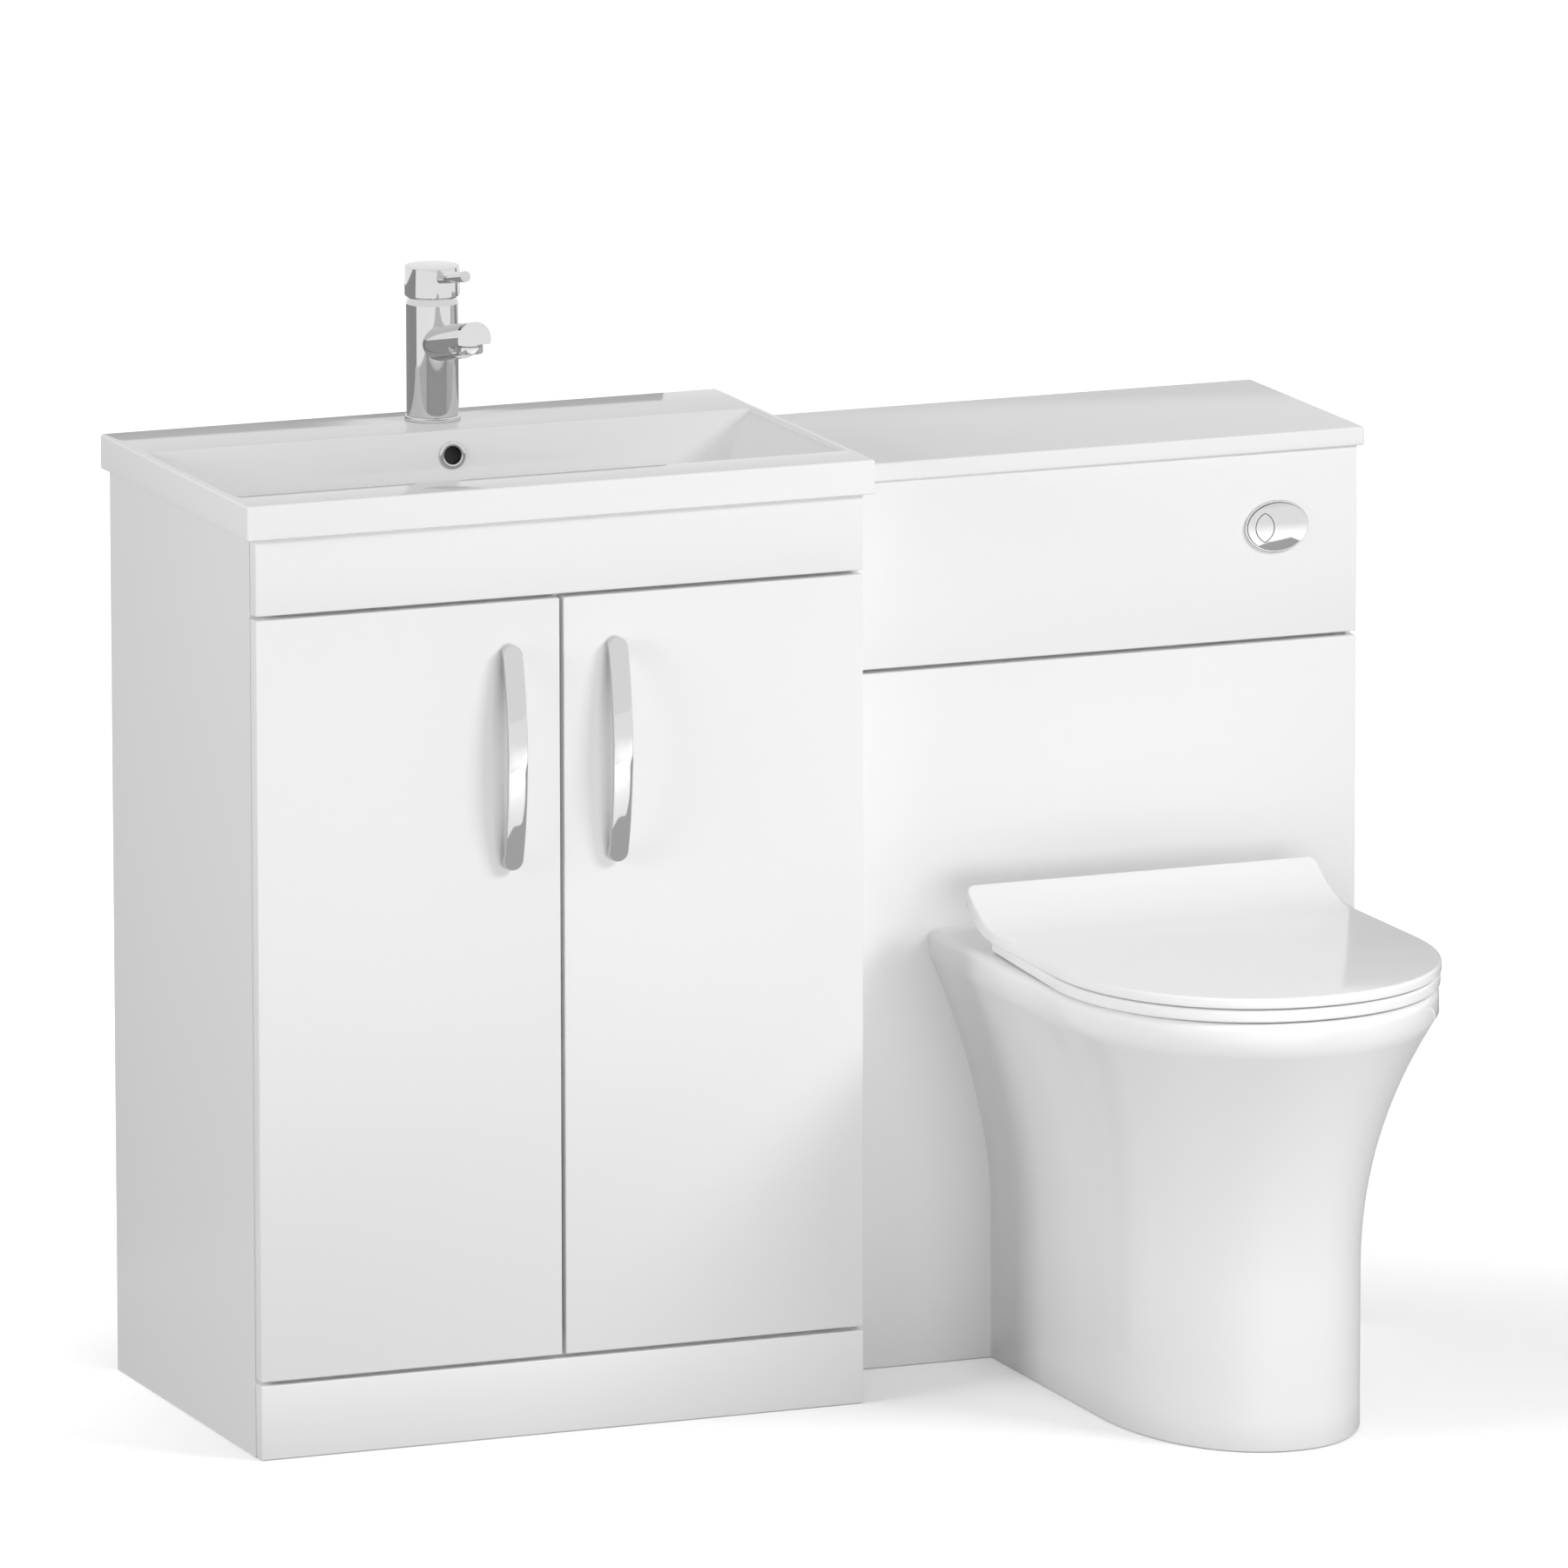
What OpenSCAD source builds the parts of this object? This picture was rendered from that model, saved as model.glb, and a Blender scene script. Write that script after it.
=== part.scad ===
// Toilet and basin combination unit: a basin cabinet and a boxed-in cistern with a
// back-to-wall pan, joined into one run along a wall.
// X runs along the wall, -Y points into the room and Z is up. The origin is on the
// floor, under the middle of the whole unit.

/* [Boards and fronts] */
// Thickness of the carcase boards and of the worktop
board_t = 18; // [15:1:20]
// Thickness of the doors and fronts
front_t = 16; // [14:1:20]
// Gap between neighbouring fronts
front_gap = 4; // [3:0.5:6]
// How far a front stops short of the carcase side
front_reveal = 0.5; // [0.5:0.25:1.5]
// Easing of the fronts' edges
front_ease = 1; // [0.5:0.25:1.5]
// Height of the rails that tie the side boards together
rail_h = 100; // [80:5:120]

/* [Basin cabinet] */
// Width of the basin cabinet
cab_w = 600; // [580:10:660]
// Depth of the basin cabinet with its fronts
cab_d = 390; // [384:2:410]
// Height of the basin cabinet under the basin
cab_h = 865; // [850:5:890]
// Height of the plinth board
plinth_h = 70; // [60:5:100]
// Height of the fascia board under the basin
fascia_h = 72; // [60:2:80]
// Height of the front rail behind the fascia
front_rail_h = 90; // [80:5:95]
// Height of the shelf's underside above the floor
shelf_z = 350; // [300:10:420]
// Depth of the shelf
shelf_d = 300; // [240:10:320]
// Diameter of the shelf pins
shelf_pin_d = 5; // [4:0.5:6]
// Width and depth of the pipe notch in the floor board
floor_notch = [180, 60]; // [40:10:200]

/* [Door furniture] */
// Height of the handle's middle below the door's top edge
handle_drop = 145; // [130:5:250]
// Distance of the handle from the door's free edge
handle_inset = 50; // [35:5:80]
// Length of the handle
handle_l = 211; // [180:1:240]
// Width of the handle
handle_w = 18.8; // [14:0.2:22]
// Thickness of the handle's strap
handle_t = 5; // [3:0.5:5.5]
// How far the handle's middle stands out from the door
handle_out = 24; // [22:0.5:30]
// How far the bow rises from the handle's ends to its middle
handle_rise = 15; // [8:0.5:15]
// Diameter of the handle screws
handle_screw_d = 4; // [3:0.5:5]
// Diameter of the hinge cups
hinge_cup_d = 35; // [26:1:35]
// Depth of the bore for a hinge cup
hinge_cup_depth = 12; // [10:0.5:12.5]
// Distance of the cup's middle from the door's edge
hinge_cup_inset = 22.5; // [20:0.5:24]
// Distance of the hinges from the door's top and bottom edges
hinge_inset = 100; // [70:5:120]

/* [Basin] */
// How far the basin passes the cabinet's sides
basin_side_over = 9.5; // [5:0.5:9.5]
// How far the basin passes the cabinet's fronts
basin_front_over = 7; // [4:0.5:12]
// Height of the basin's edge
basin_edge_h = 32.5; // [28:0.5:45]
// Thickness of the basin's deck
deck_t = 12; // [9:0.5:16]
// Thickness of the bowl's wall
bowl_wall = 9; // [7:0.5:10]
// Width of the bowl at its rim
bowl_w = 600; // [560:2:602]
// Distance of the bowl's rear edge from the wall
bowl_rear = 107; // [100:1:120]
// Distance of the bowl's front edge from the wall
bowl_front = 343; // [320:1:345]
// Depth of the bowl
bowl_depth = 118; // [100:2:125]
// Lean of the bowl's end ramps from upright
ramp_lean = 55; // [45:1:58]
// Radius where the ramps meet the bowl's floor
ramp_r = 60; // [40:5:80]
// Lean of the bowl's rear wall from upright
rear_lean = 8; // [4:1:14]
// Radius where the rear wall meets the bowl's floor
rear_r = 25; // [18:1:35]
// Lean of the bowl's front wall from upright
front_lean = 20; // [12:1:22]
// Radius where the front wall meets the bowl's floor
front_r = 35; // [25:1:45]
// Plan radius of the bowl's corners at the rim
bowl_corner_top = 6; // [4:1:12]
// Plan radius of the bowl's corners at the floor
bowl_corner_floor = 40; // [30:1:50]
// Rounding of the bowl's rim and of the basin's outer edges
basin_ease = 3; // [1.5:0.5:3.5]
// Distance of the waste from the wall
waste_y = 225; // [215:1:230]
// Diameter of the waste hole
waste_hole_d = 46; // [44:1:50]
// Depth of the overflow hole's middle below the basin's top
overflow_drop = 23.5; // [22:0.5:28]
// Inner diameter of the overflow ring
overflow_d = 17.4; // [12:0.2:20]

/* [Tap] */
// Distance of the tap's middle to the right of the basin's middle
tap_shift = 5; // [0:1:10]
// Distance of the tap's middle from the wall
tap_setback = 46; // [45:1:48]
// Diameter of the hole for the tap
tap_hole_d = 35; // [32:1:36]
// Diameter of the tap's body
tap_d = 49; // [47:0.5:52]
// Height of the tap's body above the deck
tap_h = 116.1; // [112:0.5:130]
// Diameter of the spout
spout_d = 33; // [28:0.5:34]
// Reach of the spout from the tap's axis
spout_reach = 110.5; // [100:0.5:130]
// Rise of the spout from level
spout_rise = 11.7; // [8:0.1:14]
// Height where the spout's axis meets the tap's axis
spout_z = 70.6; // [66:0.1:74]
// Diameter of the aerator
aerator_d = 24; // [20:0.5:26]
// Diameter of the cartridge
cartridge_d = 35; // [32:1:36]
// Height of the lever cap
cap_h = 28.5; // [26:0.5:34]
// Diameter of the lever pin
lever_d = 9.8; // [8:0.2:12]
// Reach of the lever pin's end from the tap's axis
lever_reach = 80; // [60:1:90]
// Rise of the lever pin from level
lever_rise = 11; // [6:1:16]

/* [Waste and trap] */
// Diameter of the waste's threaded body
waste_d = 40; // [38:0.5:42]
// Length of the waste's body below its flange
waste_l = 82; // [75:1:90]
// Travel of the waste plug
plug_lift = 8; // [5:0.5:12]
// Diameter of the trap's body
trap_d = 64; // [56:1:72]
// Height of the trap's outlet above the floor
trap_outlet_z = 660; // [640:5:670]
// Outer diameter of the trap's outlet pipe
trap_pipe_d = 32; // [30:1:40]

/* [Toilet unit] */
// Width of the filler strip between the cabinets
infill_w = 44; // [42:1:60]
// Width of the toilet unit
wc_w = 510; // [490:5:550]
// Depth of the toilet unit's carcase
wc_d = 250; // [235:5:270]
// Height of the toilet unit under its worktop
wc_h = 850; // [840:5:860]
// Height of the toilet unit's upper front
wc_upper_h = 178.5; // [165:0.5:200]
// How far the worktop passes the toilet unit's side
worktop_side_over = 5.5; // [2:0.5:20]
// How far the worktop passes the fronts
worktop_front_over = 4; // [2:0.5:12]
// Easing of the worktop's edges
worktop_ease = 2; // [1:0.5:3]
// Width and depth of a batten
batten = [18, 25]; // [14:1:25]

/* [Cistern] */
// Width of the cistern tank
tank_w = 380; // [370:5:420]
// Depth of the cistern tank
tank_d = 135; // [125:5:145]
// Height of the cistern tank
tank_h = 330; // [310:5:340]
// Height of the tank's underside above the floor
tank_z = 450; // [440:5:460]
// Wall of the cistern tank
tank_wall = 4; // [3:0.5:6]
// Outer diameter of the fill valve's inlet thread
fill_inlet_d = 20.96; // [16:0.1:22]
// Travel of the float cup
float_lift = 60; // [40:5:70]
// Diameter of the flush valve's cage
cage_d = 84; // [78:1:90]
// Diameter of the flush pipe
flush_pipe_d = 50; // [44:1:52]

/* [Flush button] */
// Distance of the button's middle from the toilet unit's right side
button_in = 83.6; // [70:0.2:110]
// Height of the button's middle above the floor
button_z = 778.4; // [760:1:790]
// Width and height of the oval bezel
bezel_size = [65, 49.5]; // [40:0.5:80]
// How far the bezel stands out from the front
bezel_out = 3; // [2:0.5:4]
// How far the button's crown stands out from the front
button_out = 6.5; // [6:0.5:9]
// Travel of the flush buttons
button_travel = 4; // [3:0.5:5]
// Width and height of the leaf-shaped half-flush button
leaf_size = [17.7, 27]; // [14:0.5:28]
// Distance of the leaf to the left of the button's middle
leaf_x = 13.6; // [12:0.2:15]

/* [Pan] */
// Reach of the pan from the wall
pan_reach = 783; // [740:1:800]
// Height of the pan's rim
pan_h = 419; // [405:1:430]
// Half width of the pan's rim
rim_half = 183; // [175:1:190]
// Half width of the pan's foot
foot_half = 117.7; // [112:0.5:124]
// How far the foot's front stands back from the rim's front
foot_back = 66; // [50:1:90]
// Height where the pan starts to flare
flare_z = 147; // [120:1:170]
// Height where the flare meets the rim
rim_band_z = 395; // [385:1:398]
// Rounding of the rim's edges
rim_ease = 8; // [4:1:10]
// Half width of the bowl's mouth
mouth_half = 137; // [125:1:142]
// Distance of the mouth's rear edge from the wall
mouth_rear = 452; // [445:1:460]
// Distance of the mouth's front edge inside the rim's front
mouth_front_in = 38; // [32:1:50]
// Depth of the bowl down to its sump
pan_bowl_depth = 200; // [180:5:215]
// Half width of the sump
sump_half = 46; // [40:1:50]
// Diameter of the trapway
trapway_d = 80; // [70:1:85]
// Height of the soil outlet's middle above the floor
soil_z = 185; // [180:1:190]
// Outer diameter of the pan's spigot
spigot_d = 102; // [98:1:104]
// Outer diameter of the soil connector's pipe
soil_d = 110; // [106:1:112]
// Height of the flush inlet's middle above the floor
inlet_z = 337; // [330:1:345]
// Distance between the seat's fixing holes
seat_fix_w = 155; // [140:1:160]

/* [Seat] */
// Height of the seat ring's underside above the rim
seat_lift = 1.5; // [1:0.25:3]
// Thickness of the seat ring
ring_t = 11.5; // [9:0.5:14]
// Gap between the ring and the lid
lid_gap = 1.5; // [1:0.25:3]
// Thickness of the lid
lid_t = 10; // [8:0.5:12]
// Half width of the lid
lid_half = 182.5; // [176:0.5:188]
// How far the lid's front stands back from the rim's front
lid_back = 3; // [0:0.5:10]
// Distance of the lid's rear edge from the wall
lid_rear = 344; // [340:1:350]
// Height that the lid's upswept rear edge rises above its flat top
sweep_rise = 33.5; // [20:0.5:36]
// Length of the upswept part
sweep_l = 96; // [80:1:110]
// Half width of the opening in the ring
ring_hole_half = 112; // [105:1:120]
// Diameter of the seat's hinge pins
seat_pin_d = 8; // [6:0.5:9]

/* [Hidden] */
$fn = 64;

// Clearances: a running fit on the radius, a loose fit and a cut's overshoot
run_fit = 0.05;
loose_fit = 0.3;
cut = 1;

// Basin cabinet
carcase_d = cab_d - front_t;
fascia_z = cab_h - fascia_h;
door_z = plinth_h + front_gap;
door_h = fascia_z - front_gap - door_z;
door_w = (cab_w - 2 * front_reveal - front_gap) / 2;
cab_front_w = cab_w - 2 * front_reveal;
shelf_pin_depth = 10;
shelf_pin_l = 16;
shelf_pin_pitch = 32;
shelf_pin_ys = [56, shelf_d - 37];
shelf_side_gap = 1;
rail_hole_d = 8;

// Handle: the bow is an arc through its ends and its middle
bow_r = (pow(handle_l / 2, 2) + pow(handle_rise, 2)) / (2 * handle_rise);
handle_post_z = (handle_l - handle_w) / 2;
handle_hole_d = handle_screw_d + 1;
handle_screw_bite = 8;
handle_screw_head = [8, 2.5];
hinge_zs = [hinge_inset, door_h - hinge_inset];
cup_wall = 2;
cup_flange = [25, 1.2, 52];
hinge_plate = [2.5, 45, 48];
hinge_arm = [11, 66, 18];
hinge_arm_gap = 3;

// Basin
basin_top = cab_h + basin_edge_h;
basin_x = -basin_side_over;
basin_w = cab_w + 2 * basin_side_over;
basin_front = cab_d + basin_front_over;
skirt_side = basin_side_over + board_t - 3.5;
skirt_front = basin_front_over + front_t + cut;
skirt_rear = board_t - 4;
bowl_x = (cab_w - bowl_w) / 2;
bowl_rings = 12;
corner_steps = 8;
waste_boss_h = 16.5;
waste_boss_d = waste_hole_d + 34;
duct_half = 12;
duct_wall = 6;
duct_d = 10;
duct_rear = 89;
overflow_sleeve_d = overflow_d + 4;
overflow_flange = [overflow_d + 9.1, 1.5];
overflow_sleeve_l = 7;

// Tap, measured from the deck
tap_ring_h = 4;
tap_ring_d = tap_d + 2.7;
tap_cone_h = 6;
tap_cone_in = 1.7;
shank_d = 28;
shank_l = 48;
washer_t = 3;
tap_nut_t = 8;
waste_nut_t = 10;
tap_inlet_d = 10;
tap_inlet_depth = 20;
tap_inlet_gap = 13;
tap_way_d = 8;
cartridge_z = tap_h - 46;
spout_cut_z = 89.7;
spout_cut_x = spout_reach - 32;
aerator_x = spout_reach - 16;
aerator_h = 8;
water_d = 13;
drop_way_d = water_d + 2;
aerator_bore_d = water_d + 4;
tap_nut_across = tap_d - 5;
cap_d = tap_d + 1.4;
cap_z = tap_h + 1.2;
cap_wall = 2.2;
cap_roof = 6;
lever_root_z = 19.5;
turret_d = 41;
turret_h = 2.5;
lever_pin_d = 3;
lever_pin_y = tap_d / 2 - 5;
lever_pin_z = tap_h + 6.2;
lug_half = 3;
boss_w = 5.7;
lug_r = 2.6;
stem_d = 8;

// Waste and trap, down from the bowl's floor
bowl_floor_z = basin_top - bowl_depth;
waste_flange = [63, 2.5];
waste_bore_d = waste_d - 7;
plug_d = 52;
plug_t = 4;
plug_stem_d = 8;
guide_z = 40;
guide_t = 6;
guide_web = 4;
nut_across = 62;
trap_socket = 17;
trap_top_z = bowl_floor_z - waste_l + trap_socket;
trap_nut = [54, 24];
dip_d = 36;
trap_body = [50, 46];
trap_drop = 29;
trap_wall = 2.5;
trap_arm_d = trap_pipe_d + 10;
cup_h = 64;
cup_collar = [trap_d + 8, 14];
outlet_nut = [trap_pipe_d + 20, 20];

// Toilet unit
wc_x = cab_w + infill_w;
wc_mid = wc_x + wc_w / 2;
wc_front = wc_d + front_t;
wc_front_w = wc_w - 2 * front_reveal;
wc_lower_h = wc_h - wc_upper_h - front_gap;
wc_low_rail_z = 20;
wc_front_rail_h = 60;
worktop_x = cab_w + basin_side_over + loose_fit;
worktop_end = wc_x + wc_w + worktop_side_over;
button_x = wc_w / 2 - button_in;
soil_hole_d = soil_d + 20;
inlet_hole_d = flush_pipe_d + 25;

// Frame of the whole unit
centre_x = (worktop_end - basin_side_over) / 2;
centre_y = pan_reach / 2;

// Cistern, measured from the toilet unit's middle
tank_rear = board_t + 2;
tank_y = tank_rear + tank_d / 2;
tank_r = 20;
tank_flange = 4;
tank_lid_t = 8;
tank_lip = [3, 8];
bearer_d = 170;
bearer_hole_d = cage_d + 6;
bearer_fill_hole_d = fill_inlet_d + 24;
flush_tail_d = 58;
flush_tail_l = 45;
flush_seat_t = 5;
valve_nut_t = 10;
cage_h = 196;
cage_wall = 3;
collar_t = 6;
lift_tube_d = 32;
lift_tube_wall = 2;
lift_tube_h = 250;
seal_t = 6;
seal_d = 66;
fill_shank_d = fill_inlet_d + 1;
fill_nut_across = fill_inlet_d + 14;
fill_bore_d = 12;
fill_riser_d = 18;
fill_riser_h = 262;
fill_head = [36, 38];
float_d = 62;
float_h = 50;
float_room = 15;
fill_x = tank_w / 2 - tank_wall - float_room - float_d / 2;
flush_bend_r = 60;
flush_pipe_wall = 2;
flush_pipe_end = 10;
cone_lip = [12, 8];
cone_end = 15;
soil_wall = 5;
soil_socket = [soil_d + 14, 50];
socket_set = 10;

// Button, measured from the upper front's face
bezel_wall = 0.8;
bezel_sleeve_in = 0.9;
bezel_l = 26;
bezel_back_t = 3;
button_gap = 0.3;
leaf_gap = 0.6;
crown_r = 205;
button_skirt = button_travel + cut;
button_stem_d = 6;
button_stem_x = 14;
button_stem_l = 30;
oval_steps = 64;

// Pan, from the toilet unit's middle
outline_power = 2.1;
flare_steps = 9;
ease_steps = 3;
mouth_steps = 10;
bowl_fuller = 0.6;
side_steps = 3;
rear_steps = 6;
front_steps = 28;
foot_curve = 528;
rim_curve = 560;
mouth_ease = 4;
mouth_rise_steps = 2;
mouth_front = pan_reach - mouth_front_in;
mouth_mid = (mouth_rear + mouth_front) / 2;
sump_y = 525;
sump_len = 52;
sump_drop = 45;
sump_round = 6;
sump_z = pan_h - pan_bowl_depth - sump_drop;
way_start = [12, 20];
turn_in = 60;
weir_y = 400;
weir_z = 262;
leg_step = 4;
weir_fill = 28;
turn_fill = 15;
inlet_d = flush_pipe_d + 6;
inlet_depth = 55;
inlet_way_d = 36;
spigot_l = 70;
hollow_in = 58;
hollow_out = foot_half - 15;
pan_rear_wall = 20;
hollow_front = sump_y - sump_len - 13;
hollow_h = 250;
neck_front = mouth_rear - 57;
neck_z = 200;
pan_deck_t = 26;
foot_hollow = [sump_y - 45, sump_y + 95];
foot_hollow_h = sump_z - 69;
bracket = [30, 40, 40];
bracket_t = 4;
bracket_y = 330;
bracket_hole_d = 8;

// Seat
ring_z = pan_h + seat_lift;
lid_z = ring_z + ring_t + lid_gap;
lid_front = pan_reach - lid_back;
lid_curve = 575;
lid_rear_in = 3.5;
ring_in = 1;
ring_rear = 385;
ring_rear_in = 12;
ring_hole_rear = 478;
ring_hole_front = lid_front - 62;
ring_hole_mid = (ring_hole_rear + ring_hole_front) / 2;
ring_arm_l = 20;
sweep_power = 2.4;
under_power = 3;
under_drop = 6;
under_in = 9;
sweep_steps = 12;
lid_arm_bite = 3;
lid_arm_l = 6;
seat_axis_y = 352;
seat_axis_z = pan_h + 21;
knuckle_r = 7.5;
post_w = 15;
knuckle_w = 14;
knuckle_gap = 0.5;
post_base_d = 32;
post_base_t = 3;
seat_bolt_d = 8;
seat_bolt_l = 34;
seat_wing = [24, 8];
seat_hole = [seat_bolt_d + 4, 40];
buffer_d = 12;
buffers = [[lid_half - 30, 500], [lid_half - 62, 690]];

// ---------- Shared shapes ----------

// Moves the run's corner frame (x from the basin cabinet's side, y from the wall)
// to the unit's own origin.
module in_frame() translate([-centre_x, centre_y, 0]) children();

// Frame of the toilet unit: x from its middle.
module at_wc() in_frame() translate([wc_mid, 0, 0]) children();

// Frame of the tap: on the basin's deck, on the tap's axis.
module at_tap() in_frame() translate([cab_w / 2 + tap_shift, -tap_setback, basin_top]) children();

// Frame of the waste: on the bowl's floor.
module at_waste() in_frame() translate([cab_w / 2, -waste_y, bowl_floor_z]) children();

// Frame of the button: on the upper front's face.
module at_button() at_wc() translate([button_x, -wc_front, button_z]) children();

// Box between two corners.
module block(lo, hi) translate(lo) cube(hi - lo);

// Copy on the other side of an upright plane.
module mirror_about(x) translate([2 * x, 0, 0]) mirror([1, 0, 0]) children();

// The same shape on both sides of x = 0.
module both_sides() {
    children();
    mirror([1, 0, 0]) children();
}

// Cylinder that starts at y = 0 and runs into the room.
module rod_out(d, l) rotate([90, 0, 0]) cylinder(d = d, h = l);

// Cylinder along X, centred.
module rod_across(d, l) rotate([0, 90, 0]) cylinder(d = d, h = l, center = true);

// Tube standing on z = 0.
module tube(outer_d, inner_d, h) {
    difference() {
        cylinder(d = outer_d, h = h);
        translate([0, 0, -cut]) cylinder(d = inner_d, h = h + 2 * cut);
    }
}

// Corners of a rectangle with eased corners.
function eased_points(w, h, r, steps) = [
    for (corner = [0:3], k = [0:steps])
        let (a = 90 * (corner + k / steps),
             cx = (corner == 0 || corner == 3) ? w - r : r,
             cy = corner < 2 ? h - r : r)
        [cx + r * cos(a), cy + r * sin(a)]];

// Box between two corners with all its edges eased.
module eased_block(lo, hi, r, steps = 1) {
    size = hi - lo;
    translate(lo) intersection() {
        linear_extrude(size.z) polygon(eased_points(size.x, size.y, r, steps));
        translate([0, size.y, 0]) rotate([90, 0, 0])
            linear_extrude(size.y) polygon(eased_points(size.x, size.z, r, steps));
        rotate([90, 0, 90]) linear_extrude(size.x) polygon(eased_points(size.y, size.z, r, steps));
    }
}

// Front board whose back lies on a carcase of depth d.
module front_board(x, z, w, h, d)
    eased_block([x, -d - front_t, z], [x + w, -d, z + h], front_ease);

// Closed skin over rings of equally many points, each ring counter-clockwise from above.
module skin(rings) {
    n = len(rings[0]);
    m = len(rings);
    sides = [for (j = [0:m - 2], i = [0:n - 1])
        let (a = j * n + i, b = j * n + (i + 1) % n)
        each [[a, a + n, b], [b, a + n, b + n]]];
    first_cap = [for (i = [0:n - 1]) i];
    last_cap = [for (i = [n - 1:-1:0]) (m - 1) * n + i];
    polyhedron([for (ring = rings) each ring], concat(sides, [first_cap, last_cap]));
}

// Rounded rectangle as a ring at height z.
function rounded_ring(x0, x1, y0, y1, r, z) = [
    for (p = eased_points(x1 - x0, y1 - y0, r, corner_steps)) [x0 + p.x, y0 + p.y, z]];

// Oval of the given width and height, as a flat outline.
function oval_points(w, h) = [
    for (k = [0:oval_steps - 1]) let (a = 360 * k / oval_steps) [w / 2 * cos(a), h / 2 * sin(a)]];

// ---------- Basin cabinet ----------

module basin_side() {
    color("white") difference() {
        block([0, -carcase_d, 0], [board_t, 0, cab_h]);
        for (y = shelf_pin_ys, k = [-1:1])
            translate([board_t - shelf_pin_depth, -y, shelf_z - shelf_pin_d / 2 + k * shelf_pin_pitch])
                rotate([0, 90, 0]) cylinder(d = shelf_pin_d, h = shelf_pin_depth + cut);
    }
}

module basin_side_left() in_frame() basin_side();

module basin_side_right() in_frame() mirror_about(cab_w / 2) basin_side();

module basin_floor_panel() {
    in_frame() color("white") difference() {
        block([board_t, -carcase_d, plinth_h], [cab_w - board_t, 0, plinth_h + board_t]);
        block([(cab_w - floor_notch.x) / 2, -floor_notch.y, plinth_h - cut],
              [(cab_w + floor_notch.x) / 2, cut, plinth_h + board_t + cut]);
    }
}

// Rail across the back of a carcase, with two holes for wall screws.
module wall_rail(x0, x1, z) {
    difference() {
        block([x0, -board_t, z], [x1, 0, z + rail_h]);
        for (x = [x0 + rail_h, x1 - rail_h])
            translate([x, cut, z + rail_h / 2]) rod_out(rail_hole_d, board_t + 2 * cut);
    }
}

module basin_rails() {
    in_frame() color("white") {
        wall_rail(board_t, cab_w - board_t, cab_h - rail_h);
        wall_rail(board_t, cab_w - board_t, plinth_h + board_t);
        block([board_t, -carcase_d, cab_h - front_rail_h], [cab_w - board_t, -carcase_d + board_t, cab_h]);
    }
}

module basin_plinth()
    in_frame() color("white") front_board(front_reveal, 0, cab_front_w, plinth_h, carcase_d);

module fascia_panel()
    in_frame() color("white") front_board(front_reveal, fascia_z, cab_front_w, fascia_h, carcase_d);

module shelf() {
    in_frame() color("white")
        block([board_t + shelf_side_gap, -shelf_d, shelf_z],
              [cab_w - board_t - shelf_side_gap, -board_t - shelf_side_gap, shelf_z + board_t]);
}

module shelf_pins() {
    pins_left = board_t - shelf_pin_depth;
    in_frame() color("silver")
        for (y = shelf_pin_ys, x = [pins_left, cab_w - pins_left - shelf_pin_l])
            translate([x, -y, shelf_z - shelf_pin_d / 2])
                rotate([0, 90, 0]) cylinder(d = shelf_pin_d, h = shelf_pin_l);
}

// ---------- Doors, in the left door's place ----------

module at_handle()
    translate([front_reveal + door_w - handle_inset, -cab_d, door_z + door_h - handle_drop]) children();

module at_hinge_cups()
    for (z = hinge_zs)
        translate([front_reveal + hinge_cup_inset, -carcase_d, door_z + z]) children();

module door() {
    color("white") difference() {
        front_board(front_reveal, door_z, door_w, door_h, carcase_d);
        at_hinge_cups() translate([0, cut, 0]) rod_out(hinge_cup_d, hinge_cup_depth + cut);
        at_handle() for (z = [-handle_post_z, handle_post_z])
            translate([0, front_t + cut, z]) rod_out(handle_hole_d, front_t + 2 * cut);
    }
}

// A bowed strap with round ends, on two round posts.
module handle() {
    color("silver") difference() {
        intersection() {
            rotate([90, 0, 0]) linear_extrude(handle_out + cut) {
                square([handle_w, 2 * handle_post_z], center = true);
                for (z = [-handle_post_z, handle_post_z]) translate([0, z]) circle(d = handle_w);
            }
            translate([0, bow_r - handle_out, 0]) rod_across(2 * bow_r, handle_w + 2 * cut, $fn = 360);
        }
        difference() {
            translate([0, bow_r - handle_out, 0])
                rod_across(2 * (bow_r - handle_t), handle_w + 2 * cut, $fn = 360);
            for (z = [-handle_post_z, handle_post_z])
                translate([0, 0, z]) rod_out(handle_w, handle_out);
        }
        for (z = [-handle_post_z, handle_post_z])
            translate([0, cut, z]) rod_out(handle_screw_d + 2 * run_fit, handle_screw_bite + cut);
    }
}

// Screws through the door into the handle's posts.
module handle_screws() {
    color("silver") for (z = [-handle_post_z, handle_post_z]) translate([0, 0, z]) {
        translate([0, front_t + handle_screw_head[1], 0])
            rod_out(handle_screw_head[0], handle_screw_head[1]);
        translate([0, front_t, 0]) rod_out(handle_screw_d, front_t + handle_screw_bite - loose_fit);
    }
}

// Cup let into the door, with a thin flange beside the cabinet's side board.
module hinge_cups() {
    flange_x = board_t + cut - front_reveal - hinge_cup_inset;
    color("silver") at_hinge_cups() difference() {
        union() {
            rod_out(hinge_cup_d, hinge_cup_depth);
            block([flange_x, 0, -cup_flange.z / 2],
                  [flange_x + cup_flange.x, cup_flange.y, cup_flange.z / 2]);
        }
        translate([0, cup_flange.y + cut, 0])
            rod_out(hinge_cup_d - 2 * cup_wall, hinge_cup_depth - cup_wall + cup_flange.y + cut);
    }
}

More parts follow.
